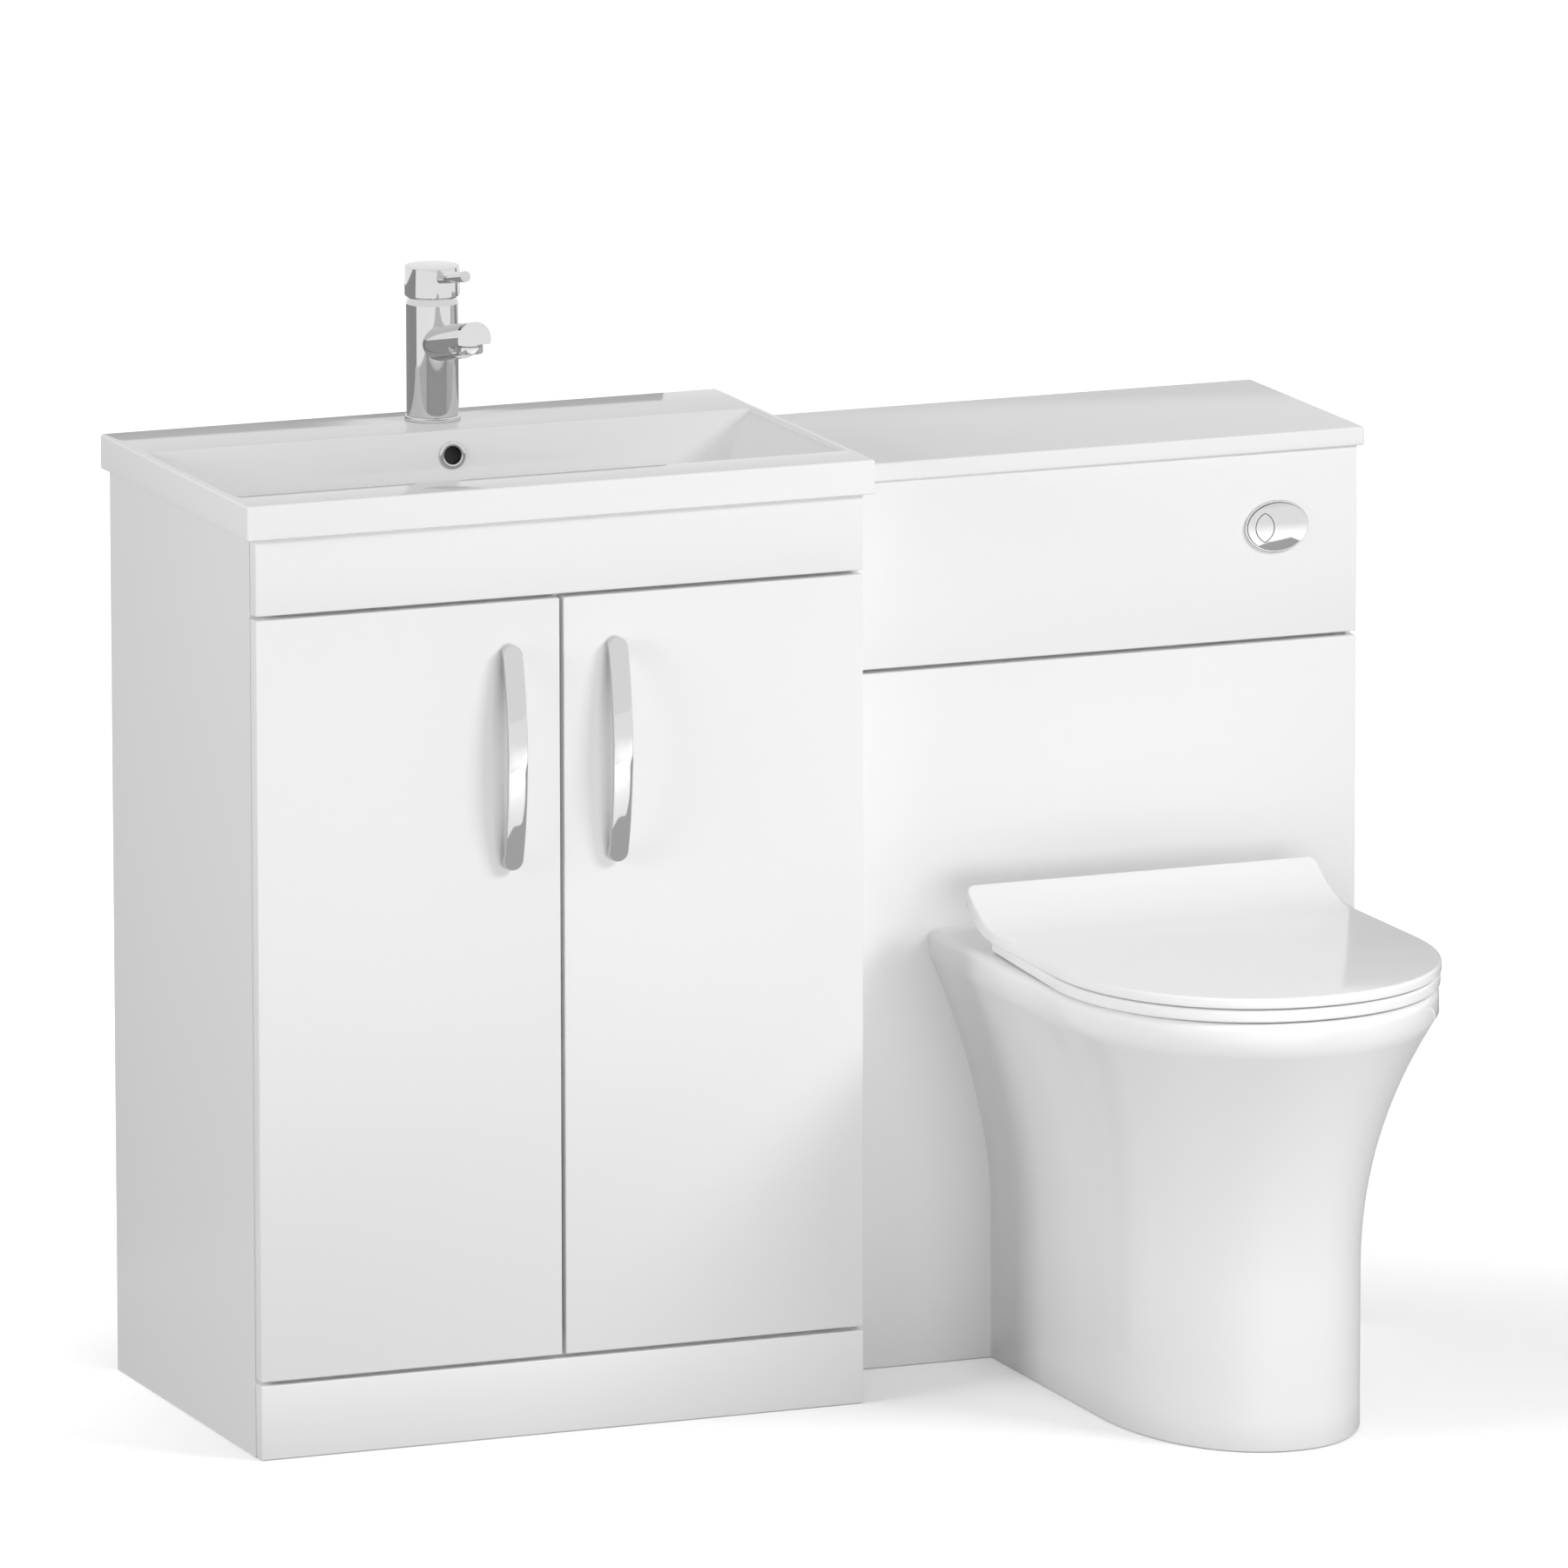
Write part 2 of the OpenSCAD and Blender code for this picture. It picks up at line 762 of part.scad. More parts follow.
// Mounting plates and arms on the side board.
module hinge_arm_pair() {
    arm_x = board_t + hinge_plate.x;
    for (z = hinge_zs) translate([0, -carcase_d + hinge_arm_gap, door_z + z]) {
        block([board_t, hinge_arm.y - hinge_plate.y, -hinge_plate.z / 2],
              [arm_x, hinge_arm.y, hinge_plate.z / 2]);
        rotate([90, 0, 90]) translate([0, -hinge_arm.z / 2, arm_x]) linear_extrude(hinge_arm.x)
            polygon(eased_points(hinge_arm.y, hinge_arm.z, front_ease, 1));
    }
}

module door_left() in_frame() door();

module door_right() in_frame() mirror_about(cab_w / 2) door();

module handle_left() in_frame() at_handle() handle();

module handle_right() in_frame() mirror_about(cab_w / 2) at_handle() handle();

module handle_screws_left() in_frame() at_handle() handle_screws();

module handle_screws_right() in_frame() mirror_about(cab_w / 2) at_handle() handle_screws();

module hinge_cups_left() in_frame() hinge_cups();

module hinge_cups_right() in_frame() mirror_about(cab_w / 2) hinge_cups();

module hinge_arms() {
    in_frame() color("silver") {
        hinge_arm_pair();
        mirror_about(cab_w / 2) hinge_arm_pair();
    }
}

// ---------- Basin ----------

// How far a leaning wall has come in at depth h below the rim, g outside its inner face.
// Below the wall's straight part, it turns into the floor on radius r.
function wall_inset(h, lean, r, g) =
    let (bend_h = bowl_depth + g - (r + g) * (1 - sin(lean)),
         bend_in = bend_h * tan(lean) - g / cos(lean) + (r + g) * cos(lean),
         below = h - (bowl_depth - r))
    h <= bend_h ? h * tan(lean) - g / cos(lean)
                : bend_in - sqrt(max(0, pow(r + g, 2) - pow(below, 2)));

// Ring of the bowl at depth h; g is 0 on the inside and the wall's thickness outside.
function bowl_ring(h, g) =
    let (ramp = wall_inset(h, ramp_lean, ramp_r, g),
         corner = bowl_corner_top + (bowl_corner_floor - bowl_corner_top) * min(1, h / bowl_depth))
    rounded_ring(bowl_x + ramp, cab_w - bowl_x - ramp,
                 -bowl_front + wall_inset(h, front_lean, front_r, g),
                 -bowl_rear - wall_inset(h, rear_lean, rear_r, g),
                 corner + g, basin_top - h);

// Ring of the rim's rounding, a degrees on from the bowl's edge.
function rim_ring(a) =
    let (out = basin_ease * (1 - sin(a)))
    rounded_ring(bowl_x - out, cab_w - bowl_x + out, -bowl_front - out, -bowl_rear + out,
                 bowl_corner_top + out, basin_top - basin_ease * (1 - cos(a)));

module bowl_inside() {
    depths = [for (k = [bowl_rings:-1:2]) bowl_depth * sin(90 * k / bowl_rings)];
    above = [for (p = rim_ring(0)) [p.x, p.y, p.z + cut]];
    skin(concat([for (h = depths) bowl_ring(h, 0)],
                [for (a = [60, 30, 0]) rim_ring(a)], [above]));
}

module bowl_outside() {
    depths = [for (k = [bowl_rings:-1:1]) (bowl_depth + bowl_wall) * sin(90 * k / bowl_rings)];
    skin(concat([for (h = depths) bowl_ring(h, bowl_wall)], [bowl_ring(deck_t / 2, bowl_wall)]));
}

// Overflow way behind the bowl and under its floor, thickened by t.
module overflow_duct(t) {
    boss_z = bowl_floor_z - bowl_wall - waste_boss_h;
    x0 = cab_w / 2 - duct_half - t;
    x1 = cab_w / 2 + duct_half + t;
    block([x0, -duct_rear - duct_d - t, boss_z + duct_wall - t],
          [x1, -duct_rear + t, basin_top - deck_t - cut]);
    block([x0, -waste_y, boss_z + duct_wall - t], [x1, -duct_rear + t, boss_z + duct_wall + duct_d]);
}

module basin() {
    overflow_y = bowl_rear + overflow_drop * tan(rear_lean);
    in_frame() color("white") difference() {
        union() {
            difference() {
                eased_block([basin_x, -basin_front, cab_h], [basin_x + basin_w, 0, basin_top],
                            basin_ease, 3);
                block([basin_x + skirt_side, -basin_front + skirt_front, cab_h - cut],
                      [basin_x + basin_w - skirt_side, -skirt_rear, basin_top - deck_t]);
            }
            bowl_outside();
            overflow_duct(duct_wall);
            translate([cab_w / 2, -waste_y, bowl_floor_z - bowl_wall - waste_boss_h])
                cylinder(d = waste_boss_d, h = waste_boss_h + bowl_wall / 2);
        }
        bowl_inside();
        overflow_duct(0);
        translate([cab_w / 2, -waste_y, bowl_floor_z - waste_l])
            cylinder(d = waste_hole_d, h = waste_l + cut);
        translate([cab_w / 2, -overflow_y, basin_top - overflow_drop]) rotate([-rear_lean, 0, 0])
            translate([0, overflow_y - duct_rear - duct_d / 2, 0])
                rod_out(overflow_sleeve_d + 2 * run_fit, overflow_y - duct_rear + cut);
        translate([cab_w / 2 + tap_shift, -tap_setback, cab_h])
            cylinder(d = tap_hole_d, h = basin_edge_h + cut);
    }
}

module overflow_ring() {
    overflow_y = bowl_rear + overflow_drop * tan(rear_lean);
    in_frame() color("silver")
        translate([cab_w / 2, -overflow_y, basin_top - overflow_drop]) rotate([-rear_lean, 0, 0])
            difference() {
                union() {
                    rod_out(overflow_flange[0], overflow_flange[1]);
                    translate([0, overflow_sleeve_l, 0]) rod_out(overflow_sleeve_d, overflow_sleeve_l);
                }
                translate([0, overflow_sleeve_l + cut, 0])
                    rod_out(overflow_d, overflow_sleeve_l + overflow_flange[1] + 2 * cut);
            }
}

// ---------- Tap ----------

module tap_base_ring()
    at_tap() color("silver") tube(tap_ring_d, shank_d + 2 * loose_fit, tap_ring_h);

// Line of the spout, from the tap's axis.
module along_spout() translate([0, 0, spout_z]) rotate([-spout_rise, 0, 0]) children();

module tap_body() {
    spout_l = (spout_reach + spout_d) / cos(spout_rise);
    aerator_way = spout_cut_z + cut;
    at_tap() color("silver") difference() {
        union() {
            rotate_extrude() polygon([
                [0, tap_ring_h], [tap_d / 2, tap_ring_h], [tap_d / 2, tap_h - tap_cone_h],
                [tap_d / 2 - tap_cone_in, tap_h], [0, tap_h]]);
            translate([0, 0, -shank_l]) cylinder(d = shank_d, h = shank_l + tap_ring_h);
            intersection() {
                along_spout() rod_out(spout_d, spout_l);
                block([-spout_d, -spout_reach, 0], [spout_d, 0, tap_h]);
            }
        }
        translate([0, 0, cartridge_z]) cylinder(d = cartridge_d + 2 * run_fit, h = tap_h);
        block([-spout_d, -spout_reach - cut, 0], [spout_d, -spout_cut_x, spout_cut_z]);
        along_spout() rod_out(water_d, aerator_x / cos(spout_rise));
        translate([0, -aerator_x, aerator_way - 2 * cut]) cylinder(d = drop_way_d, h = spout_d / 4);
        for (x = [-tap_inlet_gap / 2, tap_inlet_gap / 2]) translate([x, 0, -shank_l]) {
            translate([0, 0, -cut]) cylinder(d = tap_inlet_d, h = tap_inlet_depth + cut);
            cylinder(d = tap_way_d, h = shank_l + cartridge_z + cut);
        }
    }
}

module tap_aerator() {
    at_tap() color("silver") translate([0, -aerator_x, spout_cut_z - aerator_h])
        tube(aerator_d, aerator_bore_d, aerator_h);
}

module tap_cartridge() {
    at_tap() color("gray") translate([0, 0, cartridge_z]) {
        cylinder(d = cartridge_d, h = tap_h - cartridge_z - 2 * cut);
        cylinder(d = stem_d, h = tap_h - cartridge_z);
    }
}

// Disc that turns on the body, with the lug and pin that carry the cap.
module tap_turret() {
    at_tap() color("silver") {
        translate([0, 0, tap_h]) cylinder(d = turret_d, h = turret_h);
        intersection() {
            block([-lug_half, lever_pin_y - lug_r, tap_h], [lug_half, lever_pin_y + lug_r, tap_h + cap_h]);
            union() {
                translate([0, lever_pin_y, lever_pin_z]) rod_across(2 * lug_r, 2 * lug_half);
                block([-lug_half, 0, tap_h], [lug_half, lever_pin_y + lug_r / 2, lever_pin_z]);
            }
        }
        translate([0, lever_pin_y, lever_pin_z]) rod_across(lever_pin_d, 2 * (lug_half + boss_w));
    }
}

module tap_lever() {
    roof_z = cap_z + cap_h - cap_roof;
    root_y = cap_d / 2 - cap_wall;
    at_tap() color("silver") difference() {
        union() {
            difference() {
                translate([0, 0, cap_z]) cylinder(d = cap_d, h = cap_h);
                translate([0, 0, cap_z - cut]) cylinder(d = cap_d - 2 * cap_wall, h = roof_z - cap_z + cut);
            }
            both_sides() block([lug_half + loose_fit, lever_pin_y - lug_r, lever_pin_z],
                               [lug_half + boss_w, lever_pin_y + lug_r, roof_z + cut]);
            both_sides() translate([lug_half + loose_fit, lever_pin_y, lever_pin_z])
                rotate([0, 90, 0]) cylinder(r = lug_r, h = boss_w - loose_fit);
            translate([0, -root_y, cap_z + lever_root_z]) rotate([-lever_rise, 0, 0])
                rod_out(lever_d, (lever_reach - root_y) / cos(lever_rise));
        }
        translate([0, lever_pin_y, lever_pin_z])
            rod_across(lever_pin_d + 2 * run_fit, 2 * (lug_half + boss_w + cut));
    }
}

// Washer and nut under the deck.
module tap_fixings() {
    at_tap() color("silver") {
        translate([0, 0, -deck_t - washer_t]) tube(tap_d, shank_d + 2 * loose_fit, washer_t);
        translate([0, 0, -deck_t - washer_t - 2 * run_fit - tap_nut_t]) difference() {
            cylinder(d = tap_nut_across, h = tap_nut_t, $fn = 6);
            translate([0, 0, -cut]) cylinder(d = shank_d + 2 * run_fit, h = tap_nut_t + 2 * cut);
        }
    }
}

// ---------- Waste and trap ----------

module waste_body() {
    at_waste() color("silver") difference() {
        union() {
            cylinder(d = waste_flange[0], h = waste_flange[1]);
            translate([0, 0, -waste_l]) cylinder(d = waste_d, h = waste_l);
        }
        difference() {
            translate([0, 0, -waste_l - cut])
                cylinder(d = waste_bore_d, h = waste_l + waste_flange[1] + 2 * cut);
            translate([0, 0, -guide_z]) union() {
                cylinder(d = 2 * plug_stem_d, h = guide_t);
                block([-waste_d / 2, -guide_web / 2, 0], [waste_d / 2, guide_web / 2, guide_t]);
            }
        }
        translate([0, 0, -guide_z - cut]) cylinder(d = plug_stem_d + 2 * run_fit, h = guide_t + 2 * cut);
        translate([0, 0, -bowl_wall - waste_boss_h + duct_wall + duct_d / 2])
            rod_across(duct_d, waste_d + 2 * cut);
    }
}

module waste_plug() {
    at_waste() color("silver") {
        translate([0, 0, waste_flange[1] + loose_fit]) cylinder(d = plug_d, h = plug_t);
        translate([0, 0, -guide_z - plug_lift]) cylinder(d = plug_stem_d, h = guide_z + plug_lift + plug_t);
    }
}

module waste_nut() {
    nut_z = -bowl_wall - waste_boss_h;
    at_waste() color("gray") {
        translate([0, 0, nut_z - washer_t]) tube(nut_across, waste_d + 2 * loose_fit, washer_t);
        translate([0, 0, nut_z - washer_t - 2 * run_fit - waste_nut_t]) difference() {
            cylinder(d = nut_across, h = waste_nut_t, $fn = 8);
            translate([0, 0, -cut]) cylinder(d = waste_d + 2 * run_fit, h = waste_nut_t + 2 * cut);
        }
    }
}

// Inlet nut, dip tube and body of the trap, with the arm for the outlet nut.
module bottle_trap() {
    body_z = trap_outlet_z - trap_drop;
    in_frame() color("white") translate([cab_w / 2, -waste_y, 0]) difference() {
        union() {
            translate([0, 0, trap_top_z - trap_nut[1]]) cylinder(d = trap_nut[0], h = trap_nut[1]);
            translate([0, 0, body_z]) cylinder(d = dip_d, h = trap_top_z - body_z - cut);
            translate([0, 0, body_z]) cylinder(d = trap_d, h = trap_body[0]);
            translate([0, 0, trap_outlet_z]) mirror([0, 1, 0]) rod_out(trap_arm_d, trap_body[1]);
            translate([0, 0, body_z - cup_h / 2]) cylinder(d = dip_d, h = cup_h / 2 + cut);
        }
        translate([0, 0, trap_top_z - trap_socket])
            cylinder(d = waste_d + 2 * run_fit, h = trap_socket + cut);
        translate([0, 0, body_z - cup_h]) cylinder(d = dip_d - 2 * trap_wall, h = trap_top_z);
        difference() {
            translate([0, 0, body_z - cut])
                cylinder(d = trap_d - 2 * trap_wall, h = trap_body[0] - trap_wall + cut);
            cylinder(d = dip_d, h = trap_top_z);
        }
        translate([0, dip_d / 2, trap_outlet_z]) mirror([0, 1, 0])
            rod_out(trap_pipe_d + 2 * run_fit, trap_body[1]);
    }
}

module trap_cup() {
    top_z = trap_outlet_z - trap_drop;
    in_frame() color("white") translate([cab_w / 2, -waste_y, top_z - cup_h]) difference() {
        union() {
            cylinder(d = trap_d, h = cup_h);
            translate([0, 0, cup_h - cup_collar[1]])
                cylinder(d = cup_collar[0], h = cup_collar[1], $fn = 12);
        }
        translate([0, 0, trap_wall]) cylinder(d = trap_d - 2 * trap_wall, h = cup_h);
    }
}

// Nut and pipe from the trap to the wall.
module trap_outlet() {
    start_y = waste_y - trap_body[1];
    in_frame() color("white") translate([cab_w / 2, 0, trap_outlet_z]) difference() {
        union() {
            rod_out(trap_pipe_d, start_y + outlet_nut[1]);
            translate([0, -start_y + outlet_nut[1], 0]) rod_out(outlet_nut[0], outlet_nut[1]);
        }
        translate([0, cut, 0]) rod_out(trap_pipe_d - 2 * trap_wall, waste_y);
    }
}

// ---------- Toilet unit ----------

module infill_strip() {
    in_frame() color("white")
        block([cab_w, -wc_front, 0], [wc_x, -wc_d, wc_h]);
}

module link_battens() {
    in_frame() color("tan") for (x = [cab_w, wc_x - batten.x])
        block([x, -wc_d, 0], [x + batten.x, -wc_d + batten.y, wc_h]);
}

module wc_sides() {
    at_wc() color("white") both_sides()
        block([wc_w / 2 - board_t, -wc_d, 0], [wc_w / 2, 0, wc_h]);
}

module wc_rails() {
    half = wc_w / 2 - board_t;
    rail_z = wc_lower_h + front_gap / 2 - wc_front_rail_h / 2;
    at_wc() color("white") {
        wall_rail(-half, half, wc_h - rail_h);
        wall_rail(-half, half, wc_low_rail_z);
        block([-half, -wc_d, rail_z], [half, -wc_d + board_t, rail_z + wc_front_rail_h]);
    }
}

module wc_front_lower() {
    at_wc() color("white") difference() {
        front_board(-wc_front_w / 2, 0, wc_front_w, wc_lower_h, wc_d);
        translate([0, -wc_d + cut, soil_z]) rod_out(soil_hole_d, front_t + 2 * cut);
        translate([0, -wc_d + cut, inlet_z]) rod_out(inlet_hole_d, front_t + 2 * cut);
    }
}

module wc_front_upper() {
    at_wc() color("white") difference() {
        front_board(-wc_front_w / 2, wc_h - wc_upper_h, wc_front_w, wc_upper_h, wc_d);
        translate([button_x, -wc_d + cut, button_z]) oval(bezel_sleeve_in - loose_fit, front_t + 2 * cut);
    }
}

module worktop() {
    in_frame() color("white")
        eased_block([worktop_x, -wc_front - worktop_front_over, wc_h],
                    [worktop_end, 0, wc_h + board_t], worktop_ease, 3);
}

// ---------- Cistern ----------

// Plan of the tank, grown by g.
module tank_plan(g)
    translate([-tank_w / 2 - g, -tank_y - tank_d / 2 - g])
        polygon(eased_points(tank_w + 2 * g, tank_d + 2 * g, tank_r + g, 4));

module at_flush_valve() at_wc() translate([0, -tank_y, tank_z]) children();

module at_fill_valve() at_wc() translate([fill_x, -tank_y, tank_z]) children();

module cistern_bearer() {
    half = wc_w / 2 - board_t;
    at_wc() color("white") difference() {
        block([-half, -bearer_d, tank_z - board_t], [half, -board_t, tank_z]);
        translate([0, -tank_y, tank_z - board_t - cut])
            cylinder(d = bearer_hole_d, h = board_t + 2 * cut);
        translate([fill_x, -tank_y, tank_z - board_t - cut])
            cylinder(d = bearer_fill_hole_d, h = board_t + 2 * cut);
    }
}

module cistern_tank() {
    at_wc() color("white") difference() {
        union() {
            translate([0, 0, tank_z]) linear_extrude(tank_h) tank_plan(0);
            translate([0, 0, tank_z + tank_h - tank_flange]) linear_extrude(tank_flange)
                tank_plan(tank_rear - board_t - loose_fit);
        }
        translate([0, 0, tank_z + tank_wall]) linear_extrude(tank_h) tank_plan(-tank_wall);
        translate([0, -tank_y, tank_z - cut]) cylinder(d = flush_tail_d + 2 * loose_fit, h = 2 * tank_wall);
        translate([fill_x, -tank_y, tank_z - cut])
            cylinder(d = fill_shank_d + 2 * loose_fit, h = 2 * tank_wall);
    }
}

module cistern_lid() {
    at_wc() color("white") translate([0, 0, tank_z + tank_h]) {
        linear_extrude(tank_lid_t) tank_plan(tank_rear - board_t - loose_fit);
        translate([0, 0, -tank_lip[1]]) linear_extrude(tank_lip[1]) difference() {
            tank_plan(-tank_wall - loose_fit);
            tank_plan(-tank_wall - loose_fit - tank_lip[0]);
        }
    }
}

// Bottom-inlet fill valve: inlet thread, shank through the floor, flange, riser and head.
module fill_valve() {
    at_fill_valve() color("gray") difference() {
        union() {
            translate([0, 0, -flush_tail_l]) cylinder(d = fill_inlet_d, h = flush_tail_l);
            translate([0, 0, -valve_nut_t - cut])
                cylinder(d = fill_shank_d, h = valve_nut_t + cut + tank_wall);
            translate([0, 0, tank_wall]) cylinder(d = fill_nut_across, h = flush_seat_t);
            translate([0, 0, tank_wall]) cylinder(d = fill_riser_d, h = fill_riser_h);
            translate([0, 0, tank_wall + fill_riser_h]) cylinder(d = fill_head[0], h = fill_head[1]);
        }
        translate([0, 0, -flush_tail_l - cut]) cylinder(d = fill_bore_d, h = fill_riser_h);
    }
}

// Open-bottomed cup that floats on the riser.
module float_cup() {
    rest_z = tank_wall + fill_riser_h - float_lift - float_h - 2 * cut;
    at_fill_valve() color("white") translate([0, 0, rest_z]) difference() {
        cylinder(d = float_d, h = float_h);
        difference() {
            translate([0, 0, -cut]) cylinder(d = float_d - 2 * cage_wall, h = float_h - cage_wall + cut);
            cylinder(d = fill_riser_d + 2 * cage_wall, h = float_h);
        }
        translate([0, 0, -cut]) cylinder(d = fill_riser_d + 2 * run_fit, h = float_h + 2 * cut);
    }
}

// Tail through the tank's floor, seat, and a cage with four windows and a guide collar.
module flush_valve() {
    window_w = cage_d / 2;
    at_flush_valve() color("gray") difference() {
        union() {
            translate([0, 0, -flush_tail_l]) cylinder(d = flush_tail_d, h = flush_tail_l + tank_wall);
            translate([0, 0, tank_wall]) cylinder(d = cage_d, h = cage_h);
        }
        translate([0, 0, -flush_tail_l - cut])
            cylinder(d = flush_pipe_d + 2 * run_fit, h = flush_tail_l + tank_wall + flush_seat_t + 2 * cut);
        translate([0, 0, tank_wall + flush_seat_t])
            cylinder(d = cage_d - 2 * cage_wall, h = cage_h - flush_seat_t - collar_t);
        for (a = [0, 90]) rotate([0, 0, a])
            block([-cage_d, -window_w / 2, tank_wall + flush_seat_t + seal_t],
                  [cage_d, window_w / 2, tank_wall + cage_h - 2 * collar_t]);
        translate([0, 0, tank_wall]) cylinder(d = lift_tube_d + 2 * run_fit, h = cage_h + cut);
    }
}

// Overflow tube that lifts the seal off the seat.
module valve_tube() {
    at_flush_valve() color("white") translate([0, 0, tank_wall + flush_seat_t]) {
        difference() {
            union() {
                cylinder(d = lift_tube_d, h = lift_tube_h);
                cylinder(d = seal_d, h = seal_t);
            }
            translate([0, 0, -cut])
                cylinder(d = lift_tube_d - 2 * lift_tube_wall, h = lift_tube_h + 2 * cut);
        }
    }
}

// Nuts of both valves, under the tank's floor.
module valve_nuts() {
    color("gray") {
        at_flush_valve() translate([0, 0, -valve_nut_t]) difference() {
            cylinder(d = cage_d, h = valve_nut_t, $fn = 12);
            translate([0, 0, -cut]) cylinder(d = flush_tail_d + 2 * run_fit, h = valve_nut_t + 2 * cut);
        }
        at_fill_valve() translate([0, 0, -valve_nut_t]) difference() {
            cylinder(d = fill_nut_across, h = valve_nut_t, $fn = 6);
            translate([0, 0, -cut]) cylinder(d = fill_shank_d + 2 * run_fit, h = valve_nut_t + 2 * cut);
        }
    }
}

// Section of the flush pipe.
module pipe_ring() {
    difference() {
        circle(d = flush_pipe_d);
        circle(d = flush_pipe_d - 2 * flush_pipe_wall);
    }
}

// Down from the flush valve, round a bend and forward into the pan.
module flush_pipe() {
    top_z = tank_z - flush_tail_l / 2;
    bend_z = inlet_z + flush_bend_r;
    bend_y = tank_y + flush_bend_r;
    at_wc() color("white") {
        translate([0, -tank_y, bend_z]) linear_extrude(top_z - bend_z) pipe_ring();
        translate([0, -bend_y, bend_z]) rotate([0, 90, 0]) rotate_extrude(angle = 90)
            translate([flush_bend_r, 0]) pipe_ring();
        translate([0, -bend_y, inlet_z]) rotate([90, 0, 0])
            linear_extrude(wc_front + inlet_depth - flush_pipe_end - bend_y) pipe_ring();
    }
}

// Rubber cone between the flush pipe and the pan's inlet.
module flush_cone() {
    at_wc() color("black") translate([0, -wc_front, inlet_z]) difference() {
        union() {
            translate([0, cone_lip[1], 0]) rod_out(inlet_d + cone_lip[0], cone_lip[1]);
            rod_out(inlet_d - 2 * run_fit, inlet_depth - cone_end);
        }
        translate([0, cone_lip[1] + cut, 0]) rod_out(flush_pipe_d + 2 * run_fit, inlet_depth);
    }
}

// Straight soil connector: a socket over the pan's spigot, then a pipe to the wall.
module pan_connector() {
    spigot_end = wc_front - spigot_l;
    at_wc() color("white") translate([0, 0, soil_z]) difference() {
        union() {
            rod_out(soil_d, spigot_end + cut);
            translate([0, -spigot_end + socket_set, 0]) rod_out(soil_socket[0], soil_socket[1]);
        }
        translate([0, cut, 0]) rod_out(soil_d - 2 * soil_wall, spigot_end);
        translate([0, -spigot_end + cut, 0]) rod_out(spigot_d + 2 * run_fit, soil_socket[1] + cut);
    }
}

// ---------- Flush button ----------

// Oval prism into the room from y = 0; g is what it stands inside the bezel's edge.
module oval(g, l)
    rotate([90, 0, 0]) linear_extrude(l) polygon(oval_points(bezel_size.x - 2 * g, bezel_size.y - 2 * g));

// Leaf outline: where two circles cross, grown by g.
module leaf(g, l) {
    leaf_r = (pow(leaf_size.x, 2) + pow(leaf_size.y, 2)) / (4 * leaf_size.x);
    translate([-leaf_x, 0, 0]) intersection() {
        translate([leaf_r - leaf_size.x / 2, 0, 0]) rod_out(2 * (leaf_r + g), l);
        translate([leaf_size.x / 2 - leaf_r, 0, 0]) rod_out(2 * (leaf_r + g), l);
    }
}

// Thin rim on the front, a sleeve through it and a back plate that guides both stems.
module button_bezel() {
    at_button() color("silver") difference() {
        union() {
            oval(0, bezel_out);
            translate([0, bezel_l, 0]) oval(bezel_sleeve_in, bezel_l);
        }
        translate([0, bezel_l - bezel_back_t, 0]) oval(bezel_sleeve_in + bezel_wall, bezel_l + bezel_out);
        for (x = [button_stem_x, -leaf_x]) translate([x, bezel_l + cut, 0])
            rod_out(button_stem_d + 2 * run_fit, bezel_back_t + 2 * cut);
    }
}

// Stem behind a button.
module button_stem(x)
    translate([x, button_stem_l, 0]) rod_out(button_stem_d, button_stem_l - button_skirt + cut);

// Crown of both buttons: everything inside a large ball.
module under_crown() {
    intersection() {
        children();
        translate([0, crown_r - button_out, 0]) sphere(r = crown_r, $fn = 360);
    }
}

module button_full() {
    plate_in = bezel_sleeve_in + bezel_wall + button_gap;
    plate_l = button_out + button_skirt;
    at_button() color("silver") {
        under_crown() difference() {
            translate([0, button_skirt, 0]) oval(plate_in, plate_l + cut);
            translate([0, button_skirt + cut, 0]) leaf(leaf_gap, plate_l + 3 * cut);
        }
        button_stem(button_stem_x);
    }
}

module button_half() {
    plate_l = button_out + button_skirt;
    at_button() color("silver") {
        under_crown() translate([0, button_skirt, 0]) leaf(0, plate_l + cut);
        button_stem(-leaf_x);
    }
}

// ---------- Pan ----------

function mix(a, b, t) = a + (b - a) * t;

// x^p with the sign kept.
function spow(x, p) = sign(x) * pow(abs(x), p);

// Outline at height z: straight across the rear, sides that run to the curve's start,
// and a superellipse round the front.
function outline(rear_half, rear_y, half, curve_y, front_y, z) = concat(
    [for (k = [0:side_steps - 1]) let (t = k / side_steps)
        [mix(half, rear_half, t), -mix(curve_y, rear_y, t), z]],
    [for (k = [0:rear_steps - 1]) [mix(rear_half, -rear_half, k / rear_steps), -rear_y, z]],
    [for (k = [0:side_steps - 1]) let (t = k / side_steps)
        [-mix(rear_half, half, t), -mix(rear_y, curve_y, t), z]],
    [for (k = [0:front_steps - 1]) let (a = 180 * k / front_steps)
        [-half * spow(cos(a), 2 / outline_power),
         -curve_y - (front_y - curve_y) * spow(sin(a), 2 / outline_power), z]]);

// Oval with as many points as an outline: its rear half and then its front half. Its
// corners are fuller by f than an ellipse's.
function pan_oval(half, mid_y, rear_l, front_l, z, f = 0) =
    let (rear_points = 2 * side_steps + rear_steps, e = 2 / (2 + f))
    concat(
        [for (k = [0:rear_points - 1]) let (a = 180 * k / rear_points)
            [half * spow(cos(a), e), -mid_y + rear_l * spow(sin(a), e), z]],
        [for (k = [0:front_steps - 1]) let (a = 180 * k / front_steps)
            [-half * spow(cos(a), e), -mid_y - front_l * spow(sin(a), e), z]]);

